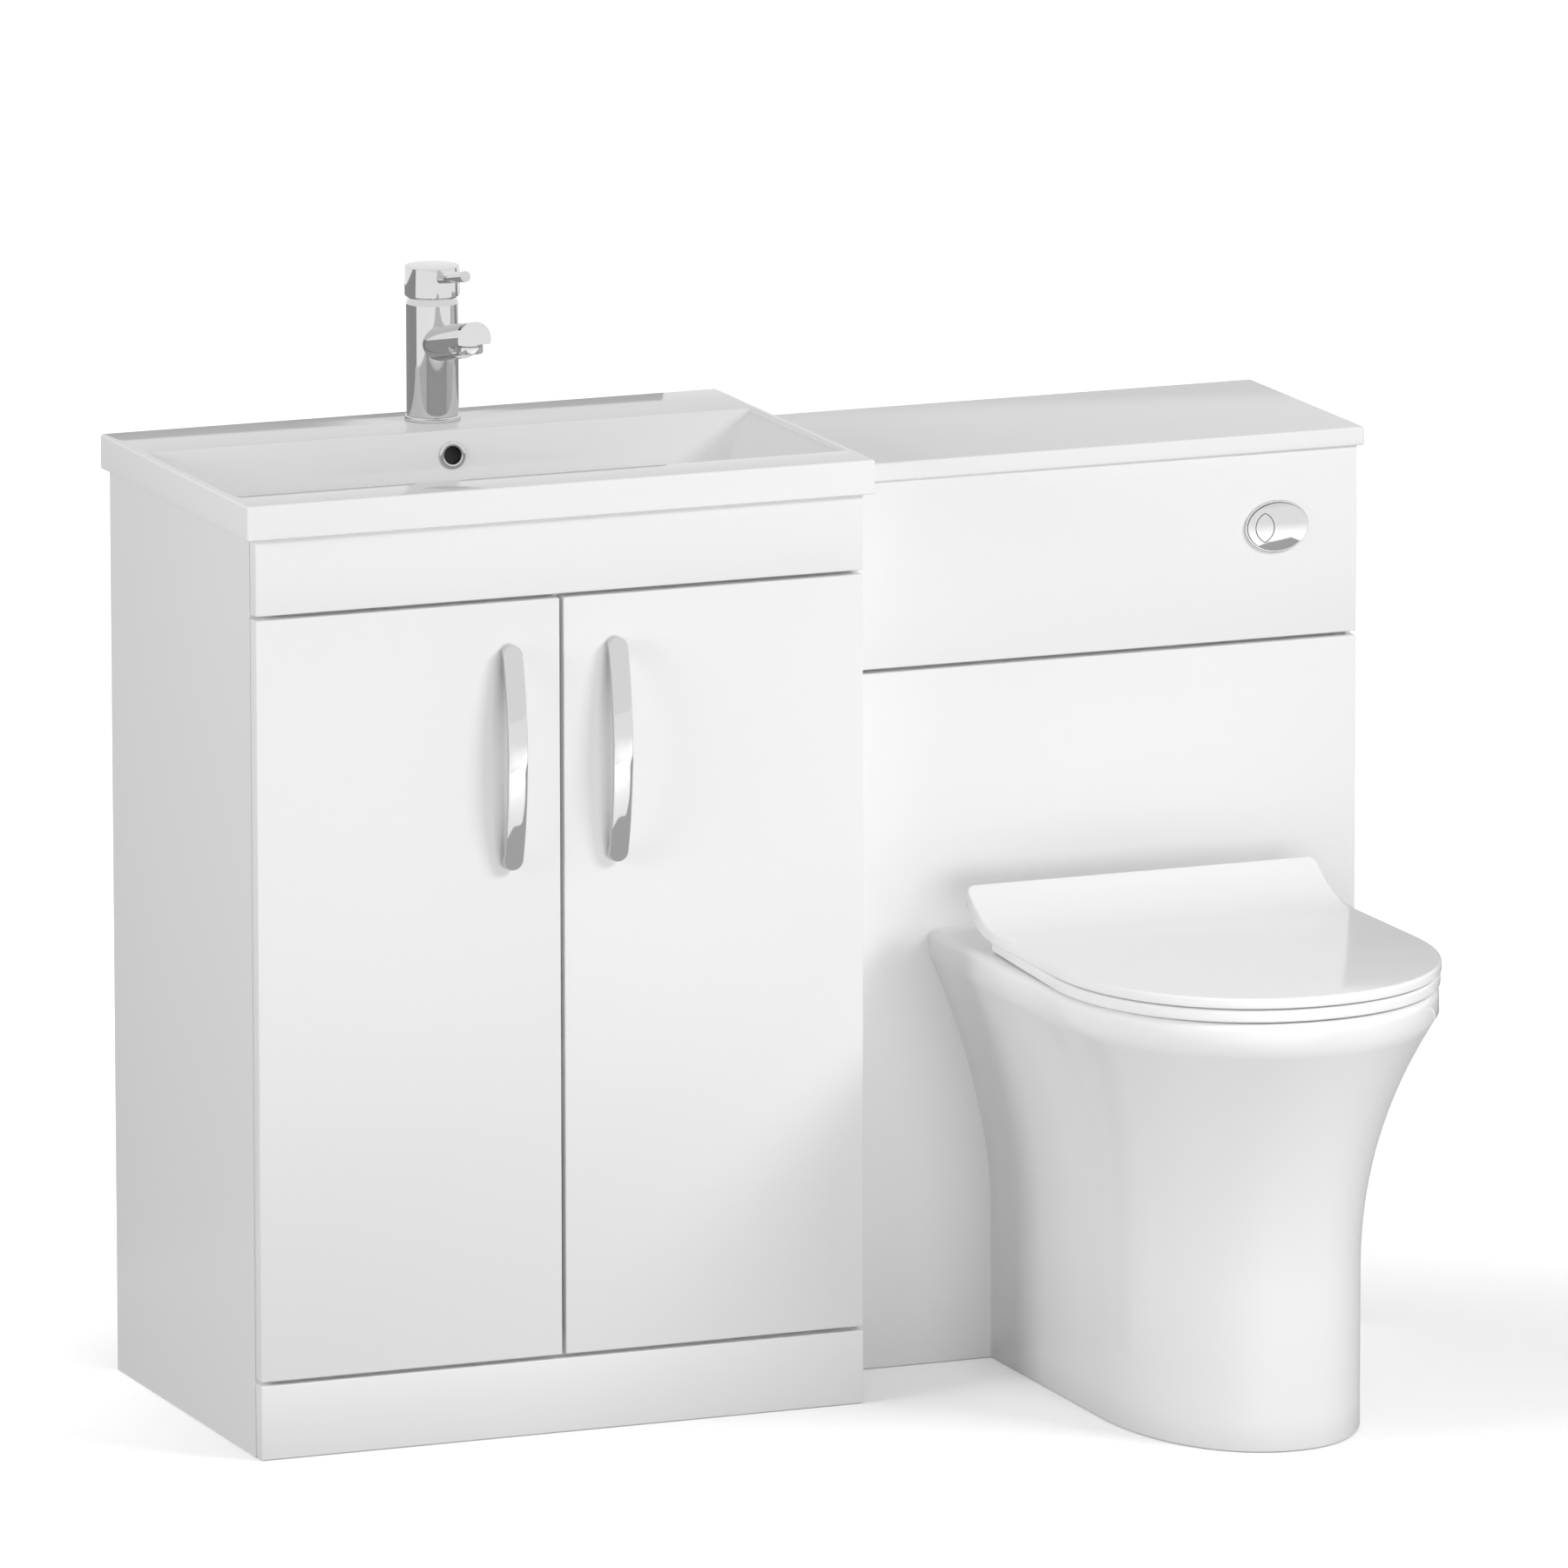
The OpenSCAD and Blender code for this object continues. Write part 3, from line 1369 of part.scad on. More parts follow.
// Share of the flare at height z, for a bend of the given power.
function flare(z, power) = pow(max(0, (z - flare_z) / (rim_band_z - flare_z)), power);

// Outer outline of the pan at height z, e inside its rim's edge.
function pan_ring(z, e) =
    let (half = min(rim_half, mix(foot_half, rim_half, flare(z, 2.3))) - e,
         rear_half = min(rim_half, mix(foot_half + cut, rim_half - cut, flare(z, 1.75))) - e,
         front_y = min(pan_reach, mix(pan_reach - foot_back, pan_reach, flare(z, 1.9))) - e,
         curve_y = mix(foot_curve, rim_curve, min(1, flare(z, 1.8))))
    outline(rear_half, wc_front, half, curve_y, front_y, z);

// Inner outline of the bowl, a degrees from its mouth (0) to its sump (90).
function pan_bowl_ring(a) =
    pan_oval(mix(sump_half, mouth_half, cos(a)), mix(sump_y, mouth_mid, cos(a)),
             mix(sump_len, mouth_mid - mouth_rear, cos(a)), mix(sump_len, mouth_front - mouth_mid, cos(a)),
             pan_h - mouth_ease - (pan_bowl_depth - mouth_ease) * sin(a), bowl_fuller * sin(2 * a));

// Rounded edge of the mouth, a degrees on from the rim's flat top.
function mouth_ring(a) =
    let (out = mouth_ease * (1 - sin(a)))
    pan_oval(mouth_half + out, mouth_mid, mouth_mid - mouth_rear + out, mouth_front - mouth_mid + out,
             pan_h - mouth_ease * (1 - cos(a)));

module pan_body() {
    flares = [for (k = [0:flare_steps]) mix(flare_z, rim_band_z, k / flare_steps)];
    eases = [for (k = [0:ease_steps]) 90 * k / ease_steps];
    skin(concat(
        [pan_ring(0, 0)],
        [for (z = flares) pan_ring(z, 0)],
        [for (a = eases) pan_ring(pan_h - rim_ease * (1 - sin(a)), rim_ease * (1 - cos(a)))],
        [for (k = [0:mouth_rise_steps]) mouth_ring(90 * k / mouth_rise_steps)],
        [for (k = [1:mouth_steps]) pan_bowl_ring(90 * k / mouth_steps)],
        [pan_oval(sump_half - sump_round, sump_y, sump_len - sump_round, sump_len - sump_round, sump_z)]));
}

// Straight bore of the middle plane from one point to another, given as [y, z], that
// runs on by the given lengths at both ends.
module bore_between(from, to, d, before, after) {
    translate([0, -from.x, from.y]) rotate([atan2(to.x - from.x, to.y - from.y), 0, 0])
        translate([0, 0, -before]) cylinder(d = d, h = norm(to - from) + before + after);
}

// Water way from the sump, over the weir and down into the outlet. Its middle leg is a
// little narrower, and each leg runs on far enough to fill the corner.
module trapway() {
    sump = [sump_y - way_start[0], sump_z + way_start[1]];
    weir = [weir_y, weir_z];
    turn = [wc_front + turn_in, soil_z];
    bore_between(sump, weir, trapway_d, 0, weir_fill);
    bore_between(weir, turn, trapway_d - leg_step, weir_fill, turn_fill);
    bore_between(turn, [0, soil_z], trapway_d, turn_fill, 0);
}

module pan() {
    hollow_rear = -wc_front - pan_rear_wall;
    at_wc() color("white") difference() {
        union() {
            pan_body();
            translate([0, -wc_front + spigot_l, soil_z]) rod_out(spigot_d, spigot_l + pan_rear_wall);
        }
        trapway();
        both_sides() {
            block([hollow_in, -hollow_front, -cut], [hollow_out, hollow_rear, hollow_h]);
            block([hollow_in, -neck_front, neck_z], [hollow_out, hollow_rear, pan_h - pan_deck_t]);
            translate([seat_fix_w / 2, -seat_axis_y, pan_h - seat_hole[1]])
                cylinder(d = seat_hole[0], h = seat_hole[1] + cut);
        }
        block([-hollow_out, -foot_hollow[1], -cut], [hollow_out, -foot_hollow[0], foot_hollow_h]);
        translate([0, -wc_front + cut, inlet_z]) rod_out(inlet_d, inlet_depth + cut);
        translate([0, -wc_front, inlet_z]) rod_out(inlet_way_d, mouth_rear - wc_front);
    }
}

// Angle brackets that hold the pan to the floor, inside its hollows.
module pan_fixings() {
    at_wc() color("silver") both_sides() difference() {
        translate([hollow_out, -bracket_y, 0]) union() {
            block([-bracket.x, -bracket.y / 2, 0], [0, bracket.y / 2, bracket_t]);
            block([-bracket_t, -bracket.y / 2, 0], [0, bracket.y / 2, bracket.z]);
        }
        translate([hollow_out - bracket.x / 2 - bracket_t / 2, -bracket_y, -cut])
            cylinder(d = bracket_hole_d, h = bracket_t + 2 * cut);
    }
}

// ---------- Seat ----------

module at_seat_axis() at_wc() translate([0, -seat_axis_y, seat_axis_z]) children();

// Posts on the pan's deck, each with a pin through the ring's and the lid's knuckles.
module seat_hinges() {
    post_x = seat_fix_w / 2;
    drop = seat_axis_z - pan_h;
    pin_l = post_w + 2 * (knuckle_gap + knuckle_w);
    at_seat_axis() color("silver") both_sides() translate([post_x, 0, 0]) {
        intersection() {
            rotate([90, 0, 90]) translate([0, 0, -post_w / 2]) linear_extrude(post_w) union() {
                circle(r = knuckle_r);
                translate([-knuckle_r, -drop]) square([2 * knuckle_r, drop]);
            }
            translate([0, 0, -drop]) cylinder(d = post_base_d, h = drop + knuckle_r);
        }
        translate([0, 0, -drop]) cylinder(d = post_base_d, h = post_base_t);
        translate([0, 0, -drop - seat_bolt_l]) cylinder(d = seat_bolt_d, h = seat_bolt_l);
        translate([0, 0, -drop - seat_bolt_l]) cylinder(d = seat_wing[0], h = seat_wing[1], $fn = 12);
        rod_across(seat_pin_d, pin_l);
    }
}

// Knuckle round the hinge pin with an arm to the shell it carries. Points are [y, z].
module knuckle(arm) {
    rotate([90, 0, 90]) linear_extrude(knuckle_w) difference() {
        union() {
            circle(r = knuckle_r);
            polygon(arm);
        }
        circle(d = seat_pin_d + 2 * run_fit);
    }
}

module seat_ring() {
    axis_up = seat_axis_z - ring_z;
    rear_y = seat_axis_y - ring_rear;
    arm_y = rear_y - ring_arm_l;
    arm = [[0, knuckle_r], [-knuckle_r, 0], [rear_y, ring_t - axis_up], [arm_y, ring_t - axis_up],
           [arm_y, -axis_up], [rear_y, -axis_up], [0, -knuckle_r]];
    ring_half = lid_half - ring_in;
    color("white") {
        at_wc() translate([0, 0, ring_z]) linear_extrude(ring_t) difference() {
            polygon([for (p = outline(ring_half - ring_rear_in, ring_rear, ring_half, lid_curve,
                                      lid_front - ring_in, 0)) [p.x, p.y]]);
            polygon([for (p = pan_oval(ring_hole_half, ring_hole_mid, ring_hole_mid - ring_hole_rear,
                                       ring_hole_front - ring_hole_mid, 0)) [p.x, p.y]]);
        }
        at_seat_axis() both_sides()
            translate([seat_fix_w / 2 - post_w / 2 - knuckle_gap - knuckle_w, 0, 0]) knuckle(arm);
    }
}

// Height of the lid's top above lid_z, at a distance from the wall.
function lid_top(y) =
    lid_t + sweep_rise * pow(max(0, (lid_rear + sweep_l - y) / sweep_l), sweep_power);

// Height of the lid's underside there.
function lid_under(y) =
    let (l = sweep_l - under_in)
    (sweep_rise - under_drop) * pow(max(0, (lid_rear + l - y) / l), under_power);

module seat_lid() {
    sweep = [for (k = [0:sweep_steps]) lid_rear + sweep_l * (1 - k / sweep_steps)];
    profile = concat(
        [[-pan_reach, 0]],
        [for (y = sweep) [-y, lid_under(y)]],
        [for (k = [sweep_steps:-1:0]) [-sweep[k], lid_top(sweep[k])]],
        [[-pan_reach, lid_t]]);
    under_up = lid_arm_bite - seat_axis_z + lid_z;
    arm_y = knuckle_r + lid_arm_l;
    arm = [[knuckle_r, 0], [knuckle_r, lid_under(seat_axis_y - knuckle_r) + under_up],
           [-arm_y, lid_under(seat_axis_y + arm_y) + under_up], [-knuckle_r, 0]];
    color("white") {
        at_wc() translate([0, 0, lid_z]) intersection() {
            linear_extrude(lid_t + sweep_rise)
                polygon([for (p = outline(lid_half - lid_rear_in, lid_rear, lid_half, lid_curve,
                                          lid_front, 0)) [p.x, p.y]]);
            rotate([90, 0, 90]) translate([0, 0, -lid_half]) linear_extrude(2 * lid_half)
                polygon(profile);
        }
        at_seat_axis() both_sides()
            translate([seat_fix_w / 2 + post_w / 2 + knuckle_gap, 0, 0]) knuckle(arm);
    }
}

// Pads of height h at the given height, two pairs along the ring.
module pads(z, h) {
    at_wc() color("gray") both_sides() for (at = buffers)
        translate([at.x, -at.y, z]) cylinder(d = buffer_d, h = h);
}

module seat_buffers() pads(pan_h + loose_fit, seat_lift - loose_fit);

module lid_buffers() pads(ring_z + ring_t + loose_fit, lid_gap - loose_fit);

basin_side_left();
basin_side_right();
basin_floor_panel();
basin_rails();
basin_plinth();
fascia_panel();
shelf();
shelf_pins();
door_left();
door_right();
handle_left();
handle_right();
handle_screws_left();
handle_screws_right();
hinge_cups_left();
hinge_cups_right();
hinge_arms();
basin();
overflow_ring();
tap_base_ring();
tap_body();
tap_aerator();
tap_cartridge();
tap_turret();
tap_lever();
tap_fixings();
waste_body();
waste_plug();
waste_nut();
bottle_trap();
trap_cup();
trap_outlet();
infill_strip();
link_battens();
wc_sides();
wc_rails();
wc_front_lower();
wc_front_upper();
worktop();
cistern_bearer();
cistern_tank();
cistern_lid();
fill_valve();
float_cup();
flush_valve();
valve_tube();
valve_nuts();
flush_pipe();
flush_cone();
pan_connector();
button_bezel();
button_full();
button_half();
pan();
pan_fixings();
seat_hinges();
seat_ring();
seat_lid();
seat_buffers();
lid_buffers();
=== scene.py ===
from math import acos, cos, pi, radians, sin, sqrt, tan

import bmesh
import bpy
from mathutils import Matrix, Vector


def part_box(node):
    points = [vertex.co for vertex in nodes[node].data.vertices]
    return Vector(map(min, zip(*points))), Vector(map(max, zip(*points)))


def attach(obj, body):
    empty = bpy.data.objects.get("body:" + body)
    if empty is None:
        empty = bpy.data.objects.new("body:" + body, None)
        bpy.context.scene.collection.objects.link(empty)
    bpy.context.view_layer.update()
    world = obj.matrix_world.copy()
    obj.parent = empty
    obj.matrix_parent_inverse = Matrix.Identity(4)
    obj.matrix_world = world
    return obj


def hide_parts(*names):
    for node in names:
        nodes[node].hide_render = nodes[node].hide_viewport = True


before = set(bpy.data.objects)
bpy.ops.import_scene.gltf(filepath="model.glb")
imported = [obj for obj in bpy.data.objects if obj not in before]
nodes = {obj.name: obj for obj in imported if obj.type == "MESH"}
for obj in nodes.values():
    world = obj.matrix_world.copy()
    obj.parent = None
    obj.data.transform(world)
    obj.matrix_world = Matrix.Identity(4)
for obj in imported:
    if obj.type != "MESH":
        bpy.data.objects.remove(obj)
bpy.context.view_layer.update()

MM = 0.001


# ---------- Camera ----------
# A long lens from the left and a little above, at the photograph's viewing angle. The photo's
# straight edges gave its place, its turn and its focal length.
view_azimuth, view_elevation, view_roll = radians(-21.974), radians(11.631), radians(-0.079)
eye, sensor_w, focal_length, sight = (-6.1362, -15.0704, 3.9422), 36, 411.252, 200
look = Vector((-sin(view_azimuth) * cos(view_elevation),
               cos(view_azimuth) * cos(view_elevation), -sin(view_elevation)))
level = look.cross(Vector((0, 0, 1))).normalized()
upright = level.cross(look)
side = level * cos(view_roll) + upright * sin(view_roll)
top = upright * cos(view_roll) - level * sin(view_roll)
camera = bpy.data.objects.new("camera", bpy.data.cameras.new("camera"))
camera.data.sensor_width = sensor_w
camera.data.lens = focal_length
camera.data.clip_end = sight
camera.matrix_world = Matrix.Translation(eye) @ Matrix((side, top, -look)).transposed().to_4x4()
bpy.context.scene.collection.objects.link(camera)
bpy.context.scene.camera = camera
bpy.context.scene.view_settings.view_transform = "Standard"


# ---------- Studio ----------
# A white room: a dim even sky, three softboxes, and a pale floor that keeps the unit's shadow
# and runs into white further off. Two grey cards show only in the gloss.
class Wire:
    """A socket in a node tree. Arithmetic on it adds Math nodes."""

    def __init__(self, tree, socket=None):
        self.tree, self.socket = tree, socket

    def node(self, kind, settings=None, inputs=None, out=0):
        """Any node, from its type, its settings and its sockets' values or links."""
        made = self.tree.nodes.new(kind)
        for key, value in (settings or {}).items():
            if key == "stops":
                ramp = made.color_ramp.elements
                while len(ramp) < len(value):
                    ramp.new(0.5)
                for stop, (place, colour) in zip(ramp, value):
                    stop.position, stop.color = place, colour
            else:
                setattr(made, key, value)
        for key, value in (inputs or {}).items():
            if isinstance(value, Wire):
                self.tree.links.new(value.socket, made.inputs[key])
            else:
                made.inputs[key].default_value = value
        return Wire(self.tree, made.outputs[out])

    def math(self, operation, first, second):
        return self.node("ShaderNodeMath", {"operation": operation}, {0: first, 1: second})

    def __add__(self, other):
        return self.math("ADD", self, other)

    def __sub__(self, other):
        return self.math("SUBTRACT", self, other)

    def __rsub__(self, other):
        return self.math("SUBTRACT", other, self)

    def __mul__(self, other):
        return self.math("MULTIPLY", self, other)

    __radd__, __rmul__ = __add__, __mul__

    def mix(self, first, second, factor):
        return self.node("ShaderNodeMix", {"data_type": "RGBA"},
                         {"Factor": factor, "A": first, "B": second}, out=2)


def grey(value):
    """An opaque neutral colour."""
    return (value, value, value, 1)


def seen_directly(wire):
    """1 for camera, gloss and transmission rays, 0 for the light that the room bounces."""
    path = wire.node("ShaderNodeLightPath")
    kinds = [Wire(wire.tree, path.socket.node.outputs[name])
             for name in ("Is Camera Ray", "Is Glossy Ray", "Is Transmission Ray")]
    return wire.math("MAXIMUM", kinds[0], wire.math("MAXIMUM", kinds[1], kinds[2]))


sky_light = 0.365
world = bpy.data.worlds.new("studio")
bpy.context.scene.world = world
world.use_nodes = True
sky = Wire(world.node_tree)
background = world.node_tree.nodes["Background"]
background.inputs["Color"].default_value = grey(1)
seen = seen_directly(sky)
strength = seen + (1 - seen) * sky_light
world.node_tree.links.new(strength.socket, background.inputs["Strength"])


def flat_piece(name, points, material):
    """A flat sheet of the studio, which isn't part of the object."""
    mesh = bpy.data.meshes.new(name)
    mesh.from_pydata(points, [], [tuple(range(len(points)))])
    mesh.materials.append(material)
    made = bpy.data.objects.new(name, mesh)
    bpy.context.scene.collection.objects.link(made)
    return made


floor_bounce, floor_white, floor_size, floor_level = 0.30, 0.97, 40, -0.0005
near_lift, far_lift, near_edge, far_edge = 0.15, 0.75, 1, 2
lit_spot = (0.1, -0.9, 0)
floor_paint = bpy.data.materials.new("studio_floor")
floor_paint.use_nodes = True
wire = Wire(floor_paint.node_tree)
shader = floor_paint.node_tree.nodes["Principled BSDF"]
seen = seen_directly(wire)
paint = wire.mix(grey(floor_bounce), grey(floor_white), seen)
distance = wire.node("ShaderNodeVectorMath", {"operation": "DISTANCE"},
                     {0: wire.node("ShaderNodeTexCoord", out="Object"), 1: lit_spot}, out="Value")
lift = wire.node("ShaderNodeMapRange", {"interpolation_type": "SMOOTHSTEP"},
                 {"Value": distance, "From Min": near_edge, "From Max": far_edge, "To Min": near_lift,
                  "To Max": far_lift})
glow = seen * lift
floor_paint.node_tree.links.new(paint.socket, shader.inputs["Base Color"])
floor_paint.node_tree.links.new(glow.socket, shader.inputs["Emission Color"])
shader.inputs["Emission Strength"].default_value = 1
shader.inputs["Roughness"].default_value = 1
shader.inputs["Specular IOR Level"].default_value = 0
flat_piece("studio_floor", [(x * floor_size, y * floor_size, floor_level)
                            for x, y in ((-1, -1), (1, -1), (1, 1), (-1, 1))], floor_paint)


def card(name, points, tone):
    """A grey sheet that only gloss and metal show."""
    material = bpy.data.materials.new(name)
    material.use_nodes = True
    shader = material.node_tree.nodes["Principled BSDF"]
    shader.inputs["Base Color"].default_value = grey(0)
    shader.inputs["Specular IOR Level"].default_value = 0
    shader.inputs["Emission Color"].default_value = grey(tone)
    shader.inputs["Emission Strength"].default_value = 1
    made = flat_piece(name, points, material)
    made.visible_camera = made.visible_diffuse = made.visible_shadow = False
    made.visible_transmission = made.visible_volume_scatter = False


# The back card ends below what the worktop mirrors, and is higher behind the basin.
card_y, card_end, card_tone, above_worktop, above_basin, step_x = 0.75, 30, 0.36, 0.86, 0.96, 0.12
card("studio_card_back",
     [(x, card_y, z) for x, z in ((-card_end, 0.002), (card_end, 0.002), (card_end, above_worktop),
                                  (step_x, above_worktop), (step_x, above_basin), (-card_end, above_basin))],
     card_tone)
# The floor card's outline gives the handles and the button their bands.
floor_card = [(-4, 0.7), (-4, -0.5), (-1.2, -0.75), (0.05, -0.97), (0.25, -0.99), (0.63, -1.25), (0.9, -1.67),
              (0.98, -1.95), (1.21, -2.1), (1.9, -2.14), (1.95, -1.74), (6, -1.8), (6, 0.7)]
floor_card_z, floor_card_tone = 0.001, 0.53
card("studio_card_floor", [(x, y, floor_card_z) for x, y in floor_card], floor_card_tone)

softbox_w, softbox_aim = 1.4, Vector((0, 0, 0.5))
for name, place, height, power in (("low", (0, -2.4, 0.5), 0.8, 21), ("right", (2.2, -2.4, 2.6), 0.8, 62),
                                   ("left", (-3.2, -0.4, 1.3), 1.2, 43)):
    softbox = bpy.data.objects.new("softbox_" + name, bpy.data.lights.new("softbox_" + name, "AREA"))
    softbox.data.shape, softbox.data.size, softbox.data.size_y = "RECTANGLE", softbox_w, height
    softbox.data.energy = power
    softbox.location = place
    softbox.rotation_euler = (softbox_aim - softbox.location).to_track_quat("-Z", "Y").to_euler()
    softbox.visible_glossy = softbox.visible_camera = False
    bpy.context.scene.collection.objects.link(softbox)


# ---------- Boards ----------
# White satin melamine on chipboard with edging of the same white: sides, floor, rails and
# shelf. Plain cut boards, doweled together behind the gloss fronts.
class Finish:
    """A material with its shader, and a wire to build what changes over its surface."""

    def __init__(self, name, colour, **fixed):
        self.material = bpy.data.materials.new(name)
        self.material.use_nodes = True
        self.tree = self.material.node_tree
        self.shader = self.tree.nodes["Principled BSDF"]
        self.wire = Wire(self.tree)
        self.shader.inputs["Base Color"].default_value = (*colour, 1)
        for socket, value in fixed.items():
            self.shader.inputs[socket.replace("_", " ")].default_value = value
        self.place = self.wire.node("ShaderNodeTexCoord", out="Object")

    def feed(self, socket, wire):
        self.tree.links.new(wire.socket, self.shader.inputs[socket])

    def noise(self, scale, detail=2.0, stretch=None):
        place = self.place
        if stretch:
            place = self.wire.node("ShaderNodeMapping", {}, {"Vector": place, "Scale": stretch})
        return self.wire.node("ShaderNodeTexNoise", {},
                              {"Vector": place, "Scale": scale, "Detail": detail})

    def bump(self, height, distance, strength=1.0):
        return self.wire.node("ShaderNodeBump", {},
                              {"Height": height, "Distance": distance, "Strength": strength})


def clad(finish, *names):
    """Gives CAD nodes this finish."""
    for name in names:
        data = nodes[name].data
        data.materials.clear()
        data.materials.append(finish.material)
        for polygon in data.polygons:
            polygon.material_index = 0


melamine = Finish("white_melamine", (0.84, 0.84, 0.835), Roughness=0.4)
pearl = melamine.noise(900, 3)
melamine.feed("Normal", melamine.bump(pearl, 0.00004))
melamine.feed("Roughness", 0.36 + melamine.noise(6) * 0.08)
melamine.feed("Base Color", melamine.wire.mix((0.83, 0.83, 0.825, 1), (0.85, 0.85, 0.845, 1),
                                             melamine.noise(2.5, 4)))
clad(melamine, "basin_side_left", "basin_side_right", "basin_floor_panel", "basin_rails", "shelf",
     "wc_sides", "wc_rails", "cistern_bearer")

softwood = Finish("softwood", (0.6, 0.42, 0.24), Roughness=0.7)
grain = softwood.noise(30, 6, (14, 14, 0.9))
softwood.feed("Base Color", softwood.wire.mix((0.62, 0.45, 0.27, 1), (0.42, 0.26, 0.13, 1), grain))
softwood.feed("Normal", softwood.bump(grain, 0.0004))
clad(softwood, "link_battens")


# ---------- Fronts ----------
# Doors, fascia, plinth and the toilet unit's fronts: fibreboard sprayed with white gloss
# lacquer over softly eased edges. The worktop is a gloss board with rounder edges.
lacquer = Finish("gloss_lacquer", (0.88, 0.88, 0.88), Roughness=0.28)
peel = lacquer.noise(420, 2)
lacquer.feed("Normal", lacquer.bump(peel, 0.000003))
lacquer.feed("Roughness", 0.27 + lacquer.noise(3, 2) * 0.02)
lacquer.feed("Base Color", lacquer.wire.mix((0.875, 0.875, 0.875, 1), (0.885, 0.885, 0.885, 1),
                                           lacquer.noise(1.7, 3)))

laminate = Finish("worktop_laminate", (0.87, 0.87, 0.87), Roughness=0.22)
laminate.feed("Normal", laminate.bump(laminate.noise(420, 2), 0.00001))
laminate.feed("Roughness", 0.2 + laminate.noise(7, 3) * 0.05)
laminate.feed("Base Color", laminate.wire.mix((0.865, 0.865, 0.865, 1), (0.875, 0.875, 0.875, 1),
                                             laminate.noise(2.2, 3)))


def dress(name, mesh, finish, body, replaced=(), sharp=32):
    """Shades a mesh, gives it its finish and sets it on its CAD body."""
    mesh.name = name
    mesh.shade_smooth()
    mesh.set_sharp_from_angle(angle=radians(sharp))
    mesh.materials.clear()
    mesh.materials.append(finish.material)
    made = bpy.data.objects.new(name, mesh)
    bpy.context.scene.collection.objects.link(made)
    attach(made, body)
    if replaced:
        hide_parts(*replaced)
    return made


def block_mesh(low, high, ease, segments=3):
    """Box between two corners in metres, with rounded edges."""
    build = bmesh.new()
    bmesh.ops.create_cube(build, size=1)
    for vert in build.verts:
        vert.co = Vector(lo + (hi - lo) * (c + 0.5) for lo, hi, c in zip(low, high, vert.co))
    bmesh.ops.bevel(build, geom=list(build.edges), offset=ease, segments=segments, profile=0.5,
                    affect="EDGES")
    mesh = bpy.data.meshes.new("block")
    build.to_mesh(mesh)
    build.free()
    return mesh


def carved(mesh, tools, operation="DIFFERENCE"):
    """The mesh after each tool mesh is cut from it or joined to it."""
    base = bpy.data.objects.new("base", mesh)
    bpy.context.scene.collection.objects.link(base)
    helpers = []
    for tool in tools:
        helper = bpy.data.objects.new("tool", tool)
        bpy.context.scene.collection.objects.link(helper)
        modifier = base.modifiers.new("carve", "BOOLEAN")
        modifier.object, modifier.operation, modifier.solver = helper, operation, "EXACT"
        helpers.append(helper)
    bpy.context.view_layer.update()
    result = bpy.data.meshes.new_from_object(
        base.evaluated_get(bpy.context.evaluated_depsgraph_get()))
    for helper in [base, *helpers]:
        bpy.data.objects.remove(helper)
    return result


weld = 1e-7


def solid(parts):
    """A closed mesh in metres from (points in mm, faces) parts."""
    build = bmesh.new()
    for points, faces in parts:
        made = [build.verts.new(Vector(p) * MM) for p in points]
        for face in faces:
            build.faces.new([made[k] for k in face])
        bmesh.ops.remove_doubles(build, verts=made, dist=weld)
    bmesh.ops.recalc_face_normals(build, faces=build.faces)
    mesh = bpy.data.meshes.new("solid")
    build.to_mesh(mesh)
    build.free()
    return mesh


def piece(name, parts, finish, body, replaced=(), sharp=32):
    """One object from closed (points in mm, faces) parts, riding on a CAD body."""
    dress(name, solid(parts), finish, body, replaced, sharp)


def loft(rings, wrap=False, caps=True):
    """Points and faces of a skin over rings of equally many points."""
    n, m = len(rings[0]), len(rings)
    faces = [(j * n + i, j * n + (i + 1) % n, (j + 1) % m * n + (i + 1) % n, (j + 1) % m * n + i)
             for j in range(m if wrap else m - 1) for i in range(n)]
    if caps and not wrap:
        faces += [tuple(range(n)), tuple(range((m - 1) * n, m * n))]
    return [point for ring in rings for point in ring], faces


def turned(profile, place, steps=96, wrap=False):
    """A shape turned round its own Z from (radius, height) points in mm, then placed."""
    rings = [[place @ Vector((r * cos(2 * pi * k / steps), r * sin(2 * pi * k / steps), h))
              for k in range(steps)] for r, h in profile]
    return loft(rings, wrap)


wall_y = 391.5


def off_wall(distance):
    """Y in mm of a point at this distance in front of the wall."""
    return wall_y - distance


def across(x, y, z):
    """Place in mm whose own Z points out of a front, towards the room."""
    return Matrix.Translation((x, y, z)) @ Matrix.Rotation(pi / 2, 4, "X")


front_ease, strip_ease, worktop_ease, board_corner = 1.2 * MM, 0.6 * MM, 2 * MM, 25
for name in ("basin_plinth", "fascia_panel", "wc_front_upper"):
    low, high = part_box(name)
    dress("front_" + name, block_mesh(low, high, front_ease), lacquer, "run", (name,),
          board_corner)

low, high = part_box("infill_strip")
dress("front_infill_strip", block_mesh(low, high, strip_ease), lacquer, "run", ("infill_strip",),
      board_corner)

low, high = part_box("worktop")
dress("worktop_board", block_mesh(low, high, worktop_ease, 4), laminate, "run", ("worktop",),
      board_corner)

cup_inset, cup_radius, cup_depth, hinge_inset, spare = 22.5, 17.5, 12, 100, 5
for hand in ("left", "right"):
    low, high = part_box("door_" + hand)
    cup_x = low.x / MM + cup_inset if hand == "left" else high.x / MM - cup_inset
    cups = [solid([turned([(cup_radius, 0), (cup_radius, cup_depth + spare)],
                          across(cup_x, high.y / MM + spare, z), 64)])
            for z in (low.z / MM + hinge_inset, high.z / MM - hinge_inset)]
    dress("door_leaf_" + hand, carved(block_mesh(low, high, front_ease), cups), lacquer,
          hand + "_door", ("door_" + hand,), board_corner)

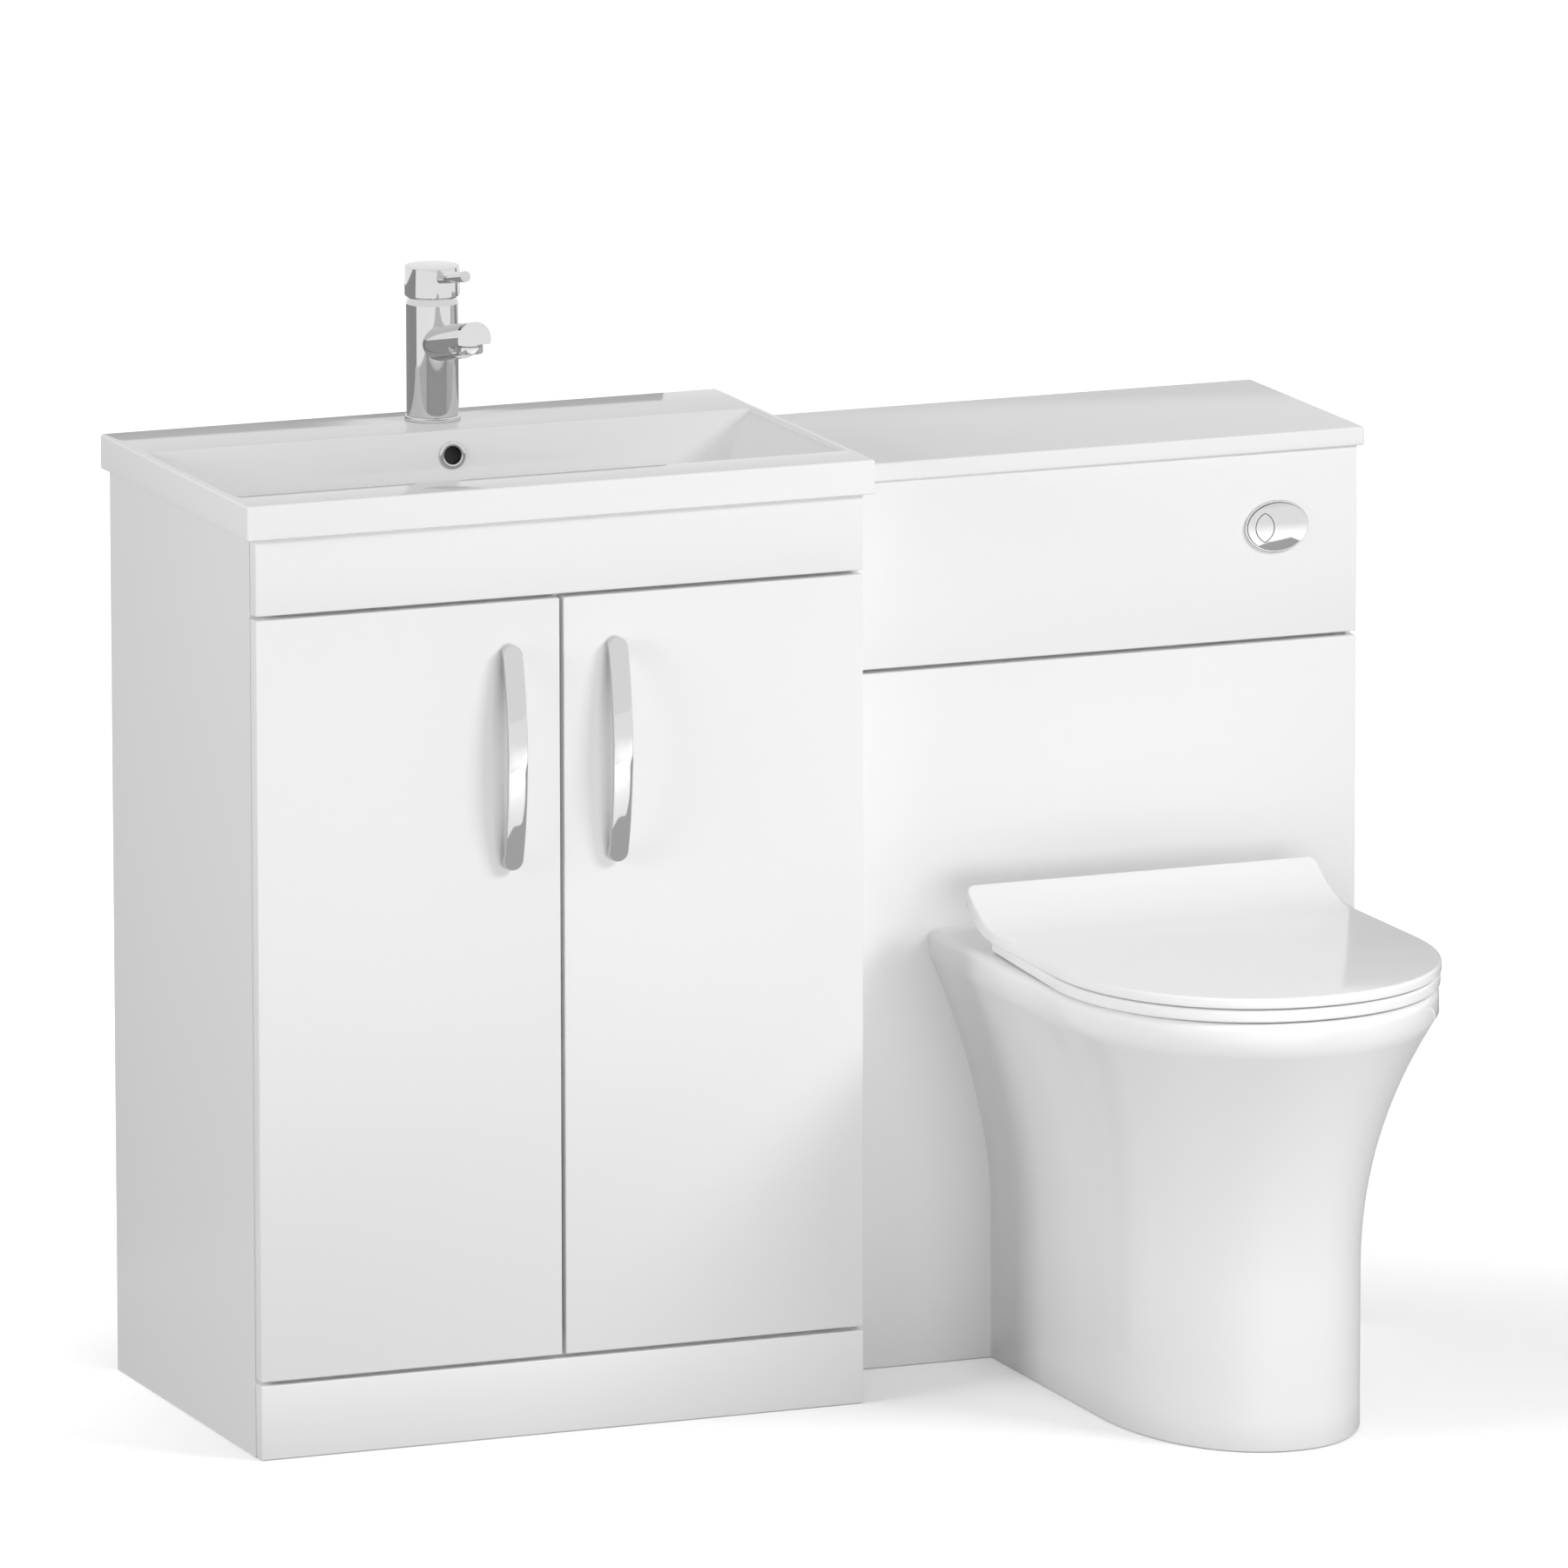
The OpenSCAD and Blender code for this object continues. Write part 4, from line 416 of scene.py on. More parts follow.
low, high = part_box("wc_front_lower")
pan_x, soil_z, inlet_z, soil_hole_r, inlet_hole_r, through = 324, 185, 337, 65, 37.5, 30
pipe_holes = [solid([turned([(radius, -through), (radius, through)], across(pan_x, low.y / MM, z), 64)])
              for radius, z in ((soil_hole_r, soil_z), (inlet_hole_r, inlet_z))]
dress("front_wc_front_lower", carved(block_mesh(low, high, front_ease), pipe_holes), lacquer, "run",
      ("wc_front_lower",), board_corner)


# ---------- Door furniture ----------
# Two cast bow handles, polished and chromed, each a crowned strap on two round posts, held by
# machine screws through the door. Pressed steel cup hinges sit behind the doors.
chrome = Finish("chrome", (0.65, 0.65, 0.65), Metallic=1.0, Roughness=0.04)
chrome.feed("Roughness", 0.03 + chrome.noise(25, 4) * 0.03)
chrome.feed("Normal", chrome.bump(chrome.noise(60, 2), 0.000004))
zinc = Finish("zinc_plate", (0.56, 0.56, 0.57), Metallic=1.0, Roughness=0.3)
zinc.feed("Roughness", 0.24 + zinc.noise(120, 4) * 0.16)
zinc.feed("Base Color", zinc.wire.mix((0.5, 0.5, 0.52, 1), (0.62, 0.62, 0.62, 1), zinc.noise(40, 5)))
clad(zinc, "handle_screws_left", "handle_screws_right", "hinge_cups_left", "hinge_cups_right",
     "hinge_arms", "shelf_pins")

strap_w, strap_t, strap_l, strap_out, strap_rise, strap_crown, edge = 18.8, 5, 211, 24, 15, 0.8, 0.7
post_r, handle_z, door_face = 9.2, 644, 1.5
bow_radius = ((strap_l / 2) ** 2 + strap_rise ** 2) / (2 * strap_rise)
post_z = (strap_l - strap_w) / 2


def bow_drop(z):
    """How far the bow has fallen back at this height from its middle."""
    return bow_radius - sqrt(bow_radius ** 2 - z * z)


def stadium(inset, steps=14, rows=56):
    """Right half of the strap's outline, from its lower end to its upper end."""
    r = strap_w / 2 - inset
    lower = [(r * cos(a), -post_z + r * sin(a))
             for a in (radians(-90 + 90 * k / steps) for k in range(steps + 1))]
    middle = [(r, -post_z + 2 * post_z * k / rows) for k in range(1, rows)]
    return lower + middle + [(x, -z) for x, z in reversed(lower)]


def strap_ring(inset, depth):
    """Ring inside the strap's outline, this deep below its face. Only the face is crowned."""
    half = stadium(inset)
    loop = half + [(-x, z) for x, z in reversed(half[1:-1])]
    crowned = strap_crown if depth < strap_t / 2 else 0
    return [(x, bow_drop(z) + crowned * (2 * x / strap_w) ** 4 + depth - strap_out, z) for x, z in loop]


def ladder(count, start=0):
    """Faces across a closed loop whose two halves mirror each other."""
    other = [start + (2 * count - 2 - k) % (2 * count - 2) for k in range(count)]
    return [(start + k, start + k + 1, other[k + 1], other[k]) for k in range(1, count - 2)] + [
        (start, start + 1, other[1]), (start + count - 1, other[count - 2], start + count - 2)]


half_count = len(stadium(0))
strap_rings = [strap_ring(edge, strap_t), strap_ring(0, strap_t - edge)] + [
    strap_ring(edge * (1 - cos(a)), edge * (1 - sin(a))) for a in (radians(22.5 * k) for k in range(5))]
strap_rings += [strap_ring(1.5 + k, 0) for k in range(8)] + [strap_ring(strap_w / 2 - 0.3, 0)]
loop_count = len(strap_rings[0])
for hand, handle_x in (("left", -327), ("right", -223)):
    place = Matrix.Translation((handle_x, door_face, handle_z))
    points, faces = loft(strap_rings, caps=False)
    faces = faces + ladder(half_count) + ladder(half_count, loop_count * (len(strap_rings) - 1))
    strap = ([place @ Vector(p) for p in points], faces)
    posts = []
    for z in (-post_z, post_z):
        rim = [(post_r * cos(a), z + post_r * sin(a)) for a in (2 * pi * k / 64 for k in range(64))]
        posts.append(loft([[place @ Vector((x, 0, pz)) for x, pz in rim],
                           [place @ Vector((x, bow_drop(pz) + strap_t / 2 - strap_out, pz))
                            for x, pz in rim]]))
    piece("bow_handle_" + hand, [strap, *posts], chrome, hand + "_door", ("handle_" + hand,))


# ---------- Basin ----------
# Slip-cast, white glazed ceramic in one piece: deck, trough bowl with long end ramps and a
# skirt that drops over the cabinet's boards. Its overflow way runs down behind the bowl.
glaze = Finish("glazed_ceramic", (0.9, 0.9, 0.9), Roughness=0.07)
glaze.feed("Normal", glaze.bump(glaze.noise(14, 2), 0.00012, 0.5))
glaze.feed("Roughness", 0.05 + glaze.noise(5, 3) * 0.05)
glaze.feed("Base Color", glaze.wire.mix((0.895, 0.895, 0.895, 1), (0.905, 0.905, 0.9, 1), glaze.noise(3, 3)))

basin_x, basin_half, basin_front, basin_top, basin_h, basin_ease = -275, 309.5, 397, 897.5, 32.5, 3
bowl_half, bowl_rear, bowl_front, bowl_depth, bowl_wall = 300, 107, 343, 118, 9
corner_top, corner_floor, deck_t = 6, 40, 12
# Lean of each wall off the upright in degrees, and the radius of its bend into the floor.
leans = {"ramp": (55, 60), "rear": (8, 25), "front": (20, 35)}
waste_y, waste_r, waste_bevel, boss_r, boss_h, boss_blend, boss_spread = 225, 23, 1, 40, 16.5, 4, 3
corner_steps, corner_share = 12, 0.9


def round_ring(x0, x1, y0, y1, r, z):
    """Rounded rectangle, counter-clockwise from above."""
    centres = ((x1 - r, y1 - r), (x0 + r, y1 - r), (x0 + r, y0 + r), (x1 - r, y0 + r))
    return [(cx + r * cos(a), cy + r * sin(a), z) for q, (cx, cy) in enumerate(centres)
            for a in (pi / 2 * (q + k / corner_steps) for k in range(corner_steps + 1))]


def wall_inset(h, wall, g=0):
    """How far a leaning wall has come in at depth h, g outside its inner face."""
    lean, r = radians(leans[wall][0]), leans[wall][1]
    bend_h = bowl_depth + g - (r + g) * (1 - sin(lean))
    if h <= bend_h:
        return h * tan(lean) - g / cos(lean)
    bend_in = bend_h * tan(lean) - g / cos(lean) + (r + g) * cos(lean)
    return bend_in - sqrt(max(0, (r + g) ** 2 - (h - bowl_depth + r) ** 2))


def bowl_ring(h, g=0):
    """Ring of the bowl at depth h, g outside its inner face."""
    ramp = wall_inset(h, "ramp", g)
    corner = corner_top + (corner_floor - corner_top) * min(1, h / bowl_depth)
    return round_ring(basin_x - bowl_half + ramp, basin_x + bowl_half - ramp,
                      off_wall(bowl_front - wall_inset(h, "front", g)),
                      off_wall(bowl_rear + wall_inset(h, "rear", g)), corner + g, basin_top - h)


def box_ring(grow, r, z, x=basin_half, rear=0, front=basin_front):
    """Ring round the basin's outline, grown by this much."""
    return round_ring(basin_x - x - grow, basin_x + x + grow, off_wall(front + grow),
                      off_wall(rear - grow), r, z)


def rim_ring(a):
    """Ring of the bowl's rounded edge, a radians on from the bowl."""
    out = basin_ease * (1 - sin(a))
    return round_ring(basin_x - bowl_half - out, basin_x + bowl_half + out, off_wall(bowl_front + out),
                      off_wall(bowl_rear - out), corner_top + out, basin_top - basin_ease * (1 - cos(a)))


def round_hole(r, z):
    """Ring round the waste, matched point for point to the rounded rectangles."""
    return round_ring(basin_x - r, basin_x + r, off_wall(waste_y + r), off_wall(waste_y - r), r - 1e-4, z)


# Steps round every eased edge.
quarter = [radians(90 * k / 5) for k in range(6)]
floor_z = basin_top - bowl_depth
skirt_z = basin_top - basin_h
inside = [bowl_ring(bowl_depth * sin(pi / 2 * k / 36)) for k in range(36, 1, -1)]
outside = [bowl_ring((bowl_depth + bowl_wall) * sin(pi / 2 * k / 16), bowl_wall) for k in range(3, 17)]
skirt_t, skirt_rear, skirt_corner, under = 24, 14, 2, 1.2
skirt_inner = dict(x=basin_half - skirt_t, rear=skirt_rear, front=basin_front - skirt_t)
under_z = floor_z - bowl_wall
rings = [round_hole(waste_r, floor_z - waste_bevel), round_hole(waste_r + waste_bevel, floor_z)] + inside
rings += [rim_ring(a) for a in reversed(quarter)]
rings += [box_ring(-basin_ease * (1 - sin(a)), basin_ease * (1 - corner_share * (1 - sin(a))),
                   basin_top - basin_ease * (1 - cos(a))) for a in quarter]
rings += [box_ring(-under * (1 - cos(a)), basin_ease - corner_share * under * (1 - cos(a)),
                   skirt_z + under * (1 - sin(a))) for a in quarter]
rings += [box_ring(0, skirt_corner, z, **skirt_inner) for z in (skirt_z, basin_top - deck_t)]
rings += outside
rings += [round_hole(boss_r + boss_spread, under_z), round_hole(boss_r, under_z - boss_blend),
          round_hole(boss_r, under_z - boss_h), round_hole(waste_r, under_z - boss_h)]
basin_mesh = solid([loft(rings, wrap=True)])
overflow_drop, rear_lean = 23.5, radians(leans["rear"][0])
overflow_y = bowl_rear + overflow_drop * tan(rear_lean)
through_wall = (Matrix.Translation((basin_x, off_wall(overflow_y), basin_top - overflow_drop))
                @ Matrix.Rotation(pi / 2 - rear_lean, 4, "X"))


def box_part(x0, x1, y0, y1, z0, z1):
    """A plain block between these bounds."""
    return loft([[(x0, y0, z), (x1, y0, z), (x1, y1, z), (x0, y1, z)] for z in (z0, z1)])


def duct_part(half, front, rear, low, high):
    """A block of the overflow way, this wide either side of the basin's middle."""
    return solid([box_part(basin_x - half, basin_x + half, off_wall(front), off_wall(rear), low, high)])


duct_half, duct_wall, duct_front, duct_rear, duct_roof, low_way_h = 18, 6, 105, 83, 4, 10
duct_top, duct_low = basin_top - deck_t - 1, under_z - boss_h + duct_wall
way_half = duct_half - duct_wall
duct = duct_part(duct_half, duct_front, duct_rear, duct_low - duct_wall, duct_top)
duct_way = duct_part(way_half, duct_front - duct_wall, duct_rear + duct_wall, duct_low, duct_top - duct_roof)
low_way = duct_part(way_half, waste_y - 10, 92, duct_low, duct_low + low_way_h)
low_duct = duct_part(duct_half, waste_y - 26, 83.5, duct_low - 5.9, duct_low + 15.5)
overflow_r, tap_hole_r = 10.7, 17.5
overflow_bore = solid([turned([(overflow_r, -20), (overflow_r, 3)], through_wall, 64)])
tap_x, tap_y = -270, 345.5
tap_place = Matrix.Translation((tap_x, tap_y, basin_top))
tap_bore = solid([turned([(tap_hole_r, -40), (tap_hole_r, 5)], tap_place, 64)])
basin_mesh = carved(basin_mesh, [duct, low_duct], "UNION")
basin_mesh = carved(basin_mesh, [duct_way, low_way, overflow_bore, tap_bore])
dress("basin_casting", basin_mesh, glaze, "run", ("basin",), 30)

# Near-black finish for painted shade: dark pieces set where only shade falls, in the overflow hole and behind
# the half-flush button's gap.
shadow = Finish("painted_shade_black", (0.03, 0.03, 0.03), Roughness=0.8)
shadow.feed("Roughness", 0.7 + shadow.noise(80) * 0.2)

# Chromed overflow ring, pressed into the hole in the bowl's rear wall: a thin round-edged
# flange on a short sleeve.
ring_profile = [(8.7, -7), (8.7, 0.9)] + [(9.2 - 0.5 * cos(a), 1 + 0.5 * sin(a)) for a in quarter] + [
    (12.2 + 1.0 * sin(a), 0.5 + 1.0 * cos(a)) for a in quarter] + [(13.25, 0), (10.6, 0), (10.6, -7)]
piece("overflow_trim", [turned(ring_profile, through_wall, wrap=True)], chrome, "run", ("overflow_ring",))
# A near-black disc 5 mm inside the sleeve: painted shade that makes the overflow hole read dark.
overflow_shade_disc = [(0, -6), (8.6, -6), (8.6, -5), (0, -5)]
piece("overflow_painted_shade", [turned(overflow_shade_disc, through_wall, 64)], shadow, "run", ())


# ---------- Tap ----------
# Monobloc mixer: a turned brass body with the spout brazed into its side, polished and
# chromed, a turned base ring under it and a drilled cap with a pin lever above.
tap_r, tap_h, base_h, base_r = 24.5, 116.1, 4.4, 26.5
spout_r, spout_rise, spout_z, spout_reach, notch_l, notch_drop = 16.5, radians(11.7), 70.6, 110.5, 30, 5
base_profile = [(0, 0.02), (base_r - 0.3, 0.02), (base_r, 0.4), (base_r, base_h - 1)] + [
    (base_r - 1 + cos(a), base_h - 1 + sin(a)) for a in quarter[1:]] + [(0, base_h)]
piece("tap_base", [turned(base_profile, tap_place, 128)], chrome, "run", ("tap_base_ring",))

body_profile = [(0, base_h - 0.2), (tap_r - 0.4, base_h - 0.2), (tap_r, base_h + 0.3), (tap_r, tap_h - 6),
                (tap_r - 1.7, tap_h), (0, tap_h)]
body_mesh = solid([turned(body_profile, tap_place, 192)])
spout_dir = Vector((0, -cos(spout_rise), sin(spout_rise)))
spout_place = tap_place @ Matrix.Translation((0, 0, spout_z)) @ Matrix.Rotation(pi / 2 - spout_rise, 4, "X")
spout_mesh = solid([turned([(spout_r, 2), (spout_r, 150)], spout_place, 160)])
notch = solid([box_part(-20, 20, -20, -notch_drop, (spout_reach - notch_l) / cos(spout_rise), 150)])
notch.transform(Matrix.Scale(MM, 4) @ spout_place @ Matrix.Scale(1 / MM, 4))
beyond_spout = solid([box_part(-340, -200, tap_y - 400, tap_y - spout_reach, 850, 1100)])
spout_mesh = carved(spout_mesh, [beyond_spout, notch])
body_mesh = carved(body_mesh, [spout_mesh], "UNION")
tap_axis = Vector((tap_x, tap_y, 0)) * MM
spout_root = tap_place @ Vector((0, 0, spout_z)) * MM


near_spout, near_body, near_flat = 0.15 * MM, (22 * MM, 25 * MM), 0.9


def true_corner(centre, normal, corner):
    """The surface's own normal at a corner: of the turned body, of the spout, or of a flat."""
    radial = Vector((centre.x - tap_axis.x, centre.y - tap_axis.y, 0))
    spoke = centre - spout_root
    spoke -= spout_dir * spoke.dot(spout_dir)
    if abs(spoke.length - spout_r * MM) < near_spout and centre.y < tap_axis.y - 0.5 * tap_r * MM:
        out = corner - spout_root
        return (out - spout_dir * out.dot(spout_dir)).normalized()
    if near_body[0] < radial.length < near_body[1] and abs(normal.z) < near_flat:
        out = Vector((corner.x - tap_axis.x, corner.y - tap_axis.y, 0)).normalized()
        return (out * sqrt(max(0, 1 - normal.z ** 2)) + Vector((0, 0, normal.z))).normalized()
    return normal


def true_normals(made, rule):
    """Sets each face corner's normal by a rule of face centre, face normal and corner."""
    mesh = made.data
    corners = [mesh.vertices[loop.vertex_index].co for loop in mesh.loops]
    mesh.normals_split_custom_set([rule(face.center, face.normal, corners[k])
                                   for face in mesh.polygons for k in face.loop_indices])


tap_column = dress("tap_column", body_mesh, chrome, "run", ("tap_body",), 20)
true_normals(tap_column, true_corner)

aerator_r, aerator_ease, aerator_low, aerator_in = 12.6, 0.5, 78.8, 13.7
aerator_place = Matrix.Translation((tap_x, tap_y - spout_reach + aerator_in, basin_top + aerator_low))
aerator_profile = [(0, 1.2), (8.4, 1.2), (8.8, 0.2)] + [
    (aerator_r - aerator_ease * (1 - sin(a)), aerator_ease * (1 - cos(a))) for a in quarter] + [
    (aerator_r, 6.6), (aerator_r - 1.6, 7.6), (aerator_r - 1.6, 10), (0, 10)]
piece("tap_mouthpiece", [turned(aerator_profile, aerator_place)], chrome, "run", ("tap_aerator",),
      25)

cap_r, cap_z, cap_h, cap_wall, cap_roof = 25.8, tap_h + 1.2, 28.5, 2.2, 6
cap_top, cap_ease = cap_z + cap_h, 0.7
cap_profile = [(0, cap_top - cap_roof), (cap_r - cap_wall, cap_top - cap_roof), (cap_r - cap_wall, cap_z),
               (cap_r - 0.9, cap_z), (cap_r, cap_z + 1.2), (cap_r, cap_top - cap_ease)]
cap_profile += [(cap_r - cap_ease * (1 - cos(a)), cap_top - cap_ease * (1 - sin(a))) for a in quarter[1:]]
cap_profile += [(0, cap_top)]
lever_rise, lever_r, lever_ease, lever_reach, lever_root = radians(11), 5.1, 0.5, 88, 19.5
lever_place = tap_place @ Matrix.Translation((0, -(cap_r - cap_wall), cap_z + lever_root)) @ Matrix.Rotation(
    pi / 2 - lever_rise, 4, "X")
lever_l = (lever_reach - cap_r + cap_wall) / cos(lever_rise)
lever_profile = [(0, 0), (lever_r, 0), (lever_r, lever_l - lever_ease)]
lever_profile += [(lever_r - lever_ease * (1 - cos(a)), lever_l - lever_ease * (1 - sin(a)))
                  for a in quarter[1:]]
lever_profile += [(0, lever_l)]
piece("tap_cap_and_pin", [turned(cap_profile, tap_place, 192), turned(lever_profile, lever_place, 64)],
      chrome, "tap_cap", ("tap_lever",), 25)

brass = Finish("machined_brass", (0.6, 0.43, 0.2), Metallic=1.0, Roughness=0.3)
brass.feed("Roughness", 0.25 + brass.noise(60, 3, (1, 1, 20)) * 0.15)
clad(chrome, "tap_turret")
clad(brass, "tap_fixings")


# ---------- Waste and trap ----------
# Chromed waste with a domed plug in the bowl's floor, and under it a white plastic bottle
# trap with screwed collars and a pipe to the wall.
moulded = Finish("white_moulded", (0.78, 0.78, 0.77), Roughness=0.42)
moulded.feed("Normal", moulded.bump(moulded.noise(700, 2), 0.00003))
moulded.feed("Roughness", 0.38 + moulded.noise(12, 3) * 0.1)
moulded.feed("Base Color", moulded.wire.mix((0.77, 0.77, 0.76, 1), (0.8, 0.8, 0.79, 1), moulded.noise(8, 4)))
grey_moulded = Finish("grey_moulded", (0.18, 0.185, 0.2), Roughness=0.45)
grey_moulded.feed("Normal", grey_moulded.bump(grey_moulded.noise(600, 2), 0.00004))
grey_moulded.feed("Base Color", grey_moulded.wire.mix((0.16, 0.165, 0.18, 1), (0.21, 0.215, 0.23, 1),
                                                      grey_moulded.noise(10, 4)))

waste_place = Matrix.Translation((basin_x, off_wall(waste_y), floor_z))
clad(chrome, "waste_body")
plug_r, plug_edge, plug_dome, stem_r, stem_l = 26, 3.6, 3.2, 4, 48
plug_profile = [(0, -stem_l), (stem_r, -stem_l), (stem_r, 2.9), (24.6, 2.9), (plug_r, plug_edge)]
plug_profile += [(plug_r * cos(a) ** 0.35, plug_edge + plug_dome * sin(a)) for a in quarter[1:5]]
plug_profile += [(0, plug_edge + plug_dome)]
piece("waste_dome", [turned(plug_profile, waste_place)], chrome, "basin_plug", ("waste_plug",))
clad(grey_moulded, "waste_nut", "tap_cartridge")
clad(moulded, "bottle_trap", "trap_cup", "trap_outlet")


# ---------- Cistern ----------
# White moulded tank and lid behind the upper front, with grey valves, a float cup, the flush
# pipe with its rubber cone in the pan's inlet, and the connector to the soil pipe.
rubber = Finish("black_rubber", (0.03, 0.03, 0.03), Roughness=0.7)
rubber.feed("Normal", rubber.bump(rubber.noise(900, 2), 0.00005))
rubber.feed("Roughness", 0.62 + rubber.noise(30, 3) * 0.15)

clad(grey_moulded, "fill_valve", "flush_valve", "valve_nuts")
clad(moulded, "cistern_tank", "cistern_lid", "float_cup", "valve_tube", "flush_pipe", "pan_connector")
clad(rubber, "flush_cone")


# ---------- Flush button ----------
# Oval dual-flush plate in the upper front: a thin chromed bezel round a crowned button with
# a leaf-shaped half-flush button let into its left side.
button_place = Matrix.Translation((495.4, 125.5, 778.4))
bezel_a, bezel_b, bezel_out, bezel_wall, button_out, crown_r = 32.5, 24.75, 3, 0.8, 6.5, 205
leaf_w, leaf_h, leaf_x, leaf_gap, shade_leaf_grow, shade_leaf_depths = 17.7, 27, -13.6, 0.7, 2.5, (3.5, 4.5)


def oval_ring(shrink, depth, steps=128):
    """Ring inside the bezel's edge; depth is how far it stands out from the front."""
    return [button_place @ Vector(((bezel_a - shrink) * cos(2 * pi * k / steps), -depth,
                                   (bezel_b - shrink) * sin(2 * pi * k / steps))) for k in range(steps)]


bezel_ease, bezel_lip, housing_l = 0.6, 0.9, 20
bezel_rings = [oval_ring(bezel_lip, -housing_l), oval_ring(bezel_lip, 0.02), oval_ring(0, 0.02),
               oval_ring(0, bezel_out - bezel_ease)] + [
    oval_ring(bezel_ease * (1 - cos(a)), bezel_out - bezel_ease * (1 - sin(a))) for a in quarter[1:]] + [
    oval_ring(bezel_lip + bezel_wall - 0.2, bezel_out), oval_ring(bezel_lip + bezel_wall, bezel_out - 0.2),
    oval_ring(bezel_lip + bezel_wall, -housing_l)]
piece("flush_bezel", [loft(bezel_rings, wrap=True)], chrome, "run", ("button_bezel",))


def crown(x, z):
    """How far the crowned button stands out at a point of its face."""
    return button_out - (crown_r - sqrt(crown_r ** 2 - x * x - z * z))


def ball_corner(centre, normal, corner):
    """The normal of the ball that the buttons' faces lie on, and elsewhere the face's own."""
    out = corner - ball_centre
    on_ball = normal.y < -0.9 and abs(out.length - crown_r * MM) < 0.1 * MM
    return out.normalized() if on_ball else normal


def domed(name, outline, body, node, cuts=()):
    """A crowned button: rings that shrink to the middle of its outline and follow the ball."""
    shares = [1, 0.995, 0.98, 0.94, 0.88] + [k / 10 for k in range(8, 0, -1)]
    sunk = {0: 0.35, 1: 0.08}
    mid_x = sum(x for x, z in outline) / len(outline)
    mid_z = sum(z for x, z in outline) / len(outline)
    rows = [[(x, -button_skirt, z) for x, z in outline]]
    for k, share in enumerate(shares):
        row = [(mid_x + (x - mid_x) * share, mid_z + (z - mid_z) * share) for x, z in outline]
        rows.append([(x, crown(x, z) - sunk.get(k, 0), z) for x, z in row])
    mesh = solid([loft([[button_place @ Vector((x, -y, z)) for x, y, z in row] for row in rows])])
    if cuts:
        mesh = carved(mesh, cuts)
    true_normals(dress(name, mesh, chrome, body, (node,), 40), ball_corner)


button_skirt = 5
ball_centre = (button_place @ Vector((0, crown_r - button_out, 0))) * MM
leaf_r = (leaf_w ** 2 + leaf_h ** 2) / (4 * leaf_w)


def leaf_outline(grow, steps=24):
    """Two arcs that meet at the leaf's tips, grown by this much."""
    r, tip = leaf_r + grow, acos((leaf_r - leaf_w / 2) / (leaf_r + grow))
    right = [(leaf_x - (leaf_r - leaf_w / 2) + r * cos(a), r * sin(a))
             for a in (-tip + 2 * tip * k / steps for k in range(steps))]
    return right + [(2 * leaf_x - x, -z) for x, z in right]


def leaf_part(grow, front, back):
    """A leaf-shaped block between two depths behind the front."""
    return loft([[button_place @ Vector((x, y, z)) for x, z in leaf_outline(grow)] for y in (front, back)])


plate_in, plate_cut = 2, 12
plate = [((bezel_a - plate_in) * cos(2 * pi * k / 128), (bezel_b - plate_in) * sin(2 * pi * k / 128))
         for k in range(128)]
domed("flush_full_plate", plate, "full_flush", "button_full",
      [solid([leaf_part(leaf_gap, -plate_cut, plate_cut)])])
domed("flush_half_leaf", leaf_outline(0), "half_flush", "button_half")
# A near-black leaf, grown past the half-flush button and set behind the plate's face: painted shade in the
# gap round the button.
piece("flush_gap_shadow", [leaf_part(shade_leaf_grow, *shade_leaf_depths)], shadow, "full_flush", ())


# ---------- Pan ----------
# Back-to-wall pan, cast in one piece and glazed: a narrow foot that flares forward and
# sideways into a D-shaped rim, a rounded mouth and a deep bowl.
pan_reach, pan_h, rim_half, foot_half, foot_back = 783, 419, 183, 117.7, 66
flare_z, band_z, rim_ease, pan_rear = 147, 395, 8, 266
foot_curve, rim_curve, outline_power = 528, 560, 2.1
mouth_half, mouth_rear, mouth_front, mouth_mid, mouth_ease = 137, 452, 745, 598.5, 4
bowl_down, bowl_fuller, sump_half, sump_y, sump_len, sump_drop = 200, 0.6, 46, 525, 52, 45
side_count, front_count = 10, 60


def blend_of(a, b, t):
    """Value a share t of the way from a to b."""
    return a + (b - a) * t


def nose_half(half, curve_y, front_y):
    """Right half of a superellipse's front, from its widest point to its foremost."""
    bend = 2 / outline_power
    return [(half * cos(a) ** bend if k < front_count else 0, curve_y + (front_y - curve_y) * sin(a) ** bend)
            for k, a in enumerate(pi / 2 * j / front_count for j in range(front_count + 1))]


def half_outline(rear_half, rear_y, half, curve_y, front_y, z):
    """Right half of a D, from the rear corner to the foremost point; y is off the wall."""
    sides = [(blend_of(rear_half, half, k / side_count), blend_of(rear_y, curve_y, k / side_count), z)
             for k in range(side_count)]
    return sides + [(x, y, z) for x, y in nose_half(half, curve_y, front_y)]


def half_oval(half, mid_y, rear_l, front_l, z, fuller=0.0):
    """Right half of an oval, matched point for point to the D, with fuller corners if asked."""
    e = 2 / (2 + fuller)
    back = [(half * sin(a) ** e, mid_y - rear_l * cos(a) ** e, z)
            for a in (pi / 2 * k / side_count for k in range(side_count))]
    return back + [(half * cos(a) ** e, mid_y + front_l * sin(a) ** e, z)
                   for a in (pi / 2 * k / front_count for k in range(front_count + 1))]


def whole(half):
    """Closed loop in the room from its right half."""
    points = [(pan_x + x, off_wall(y), z) for x, y, z in half]
    mirrored = [(2 * pan_x - x, y, z) for x, y, z in reversed(points[:-1])]
    return points + mirrored


def flare(z, power):
    """Share of the flare at height z, for a bend of this power."""
    return max(0, (z - flare_z) / (band_z - flare_z)) ** power


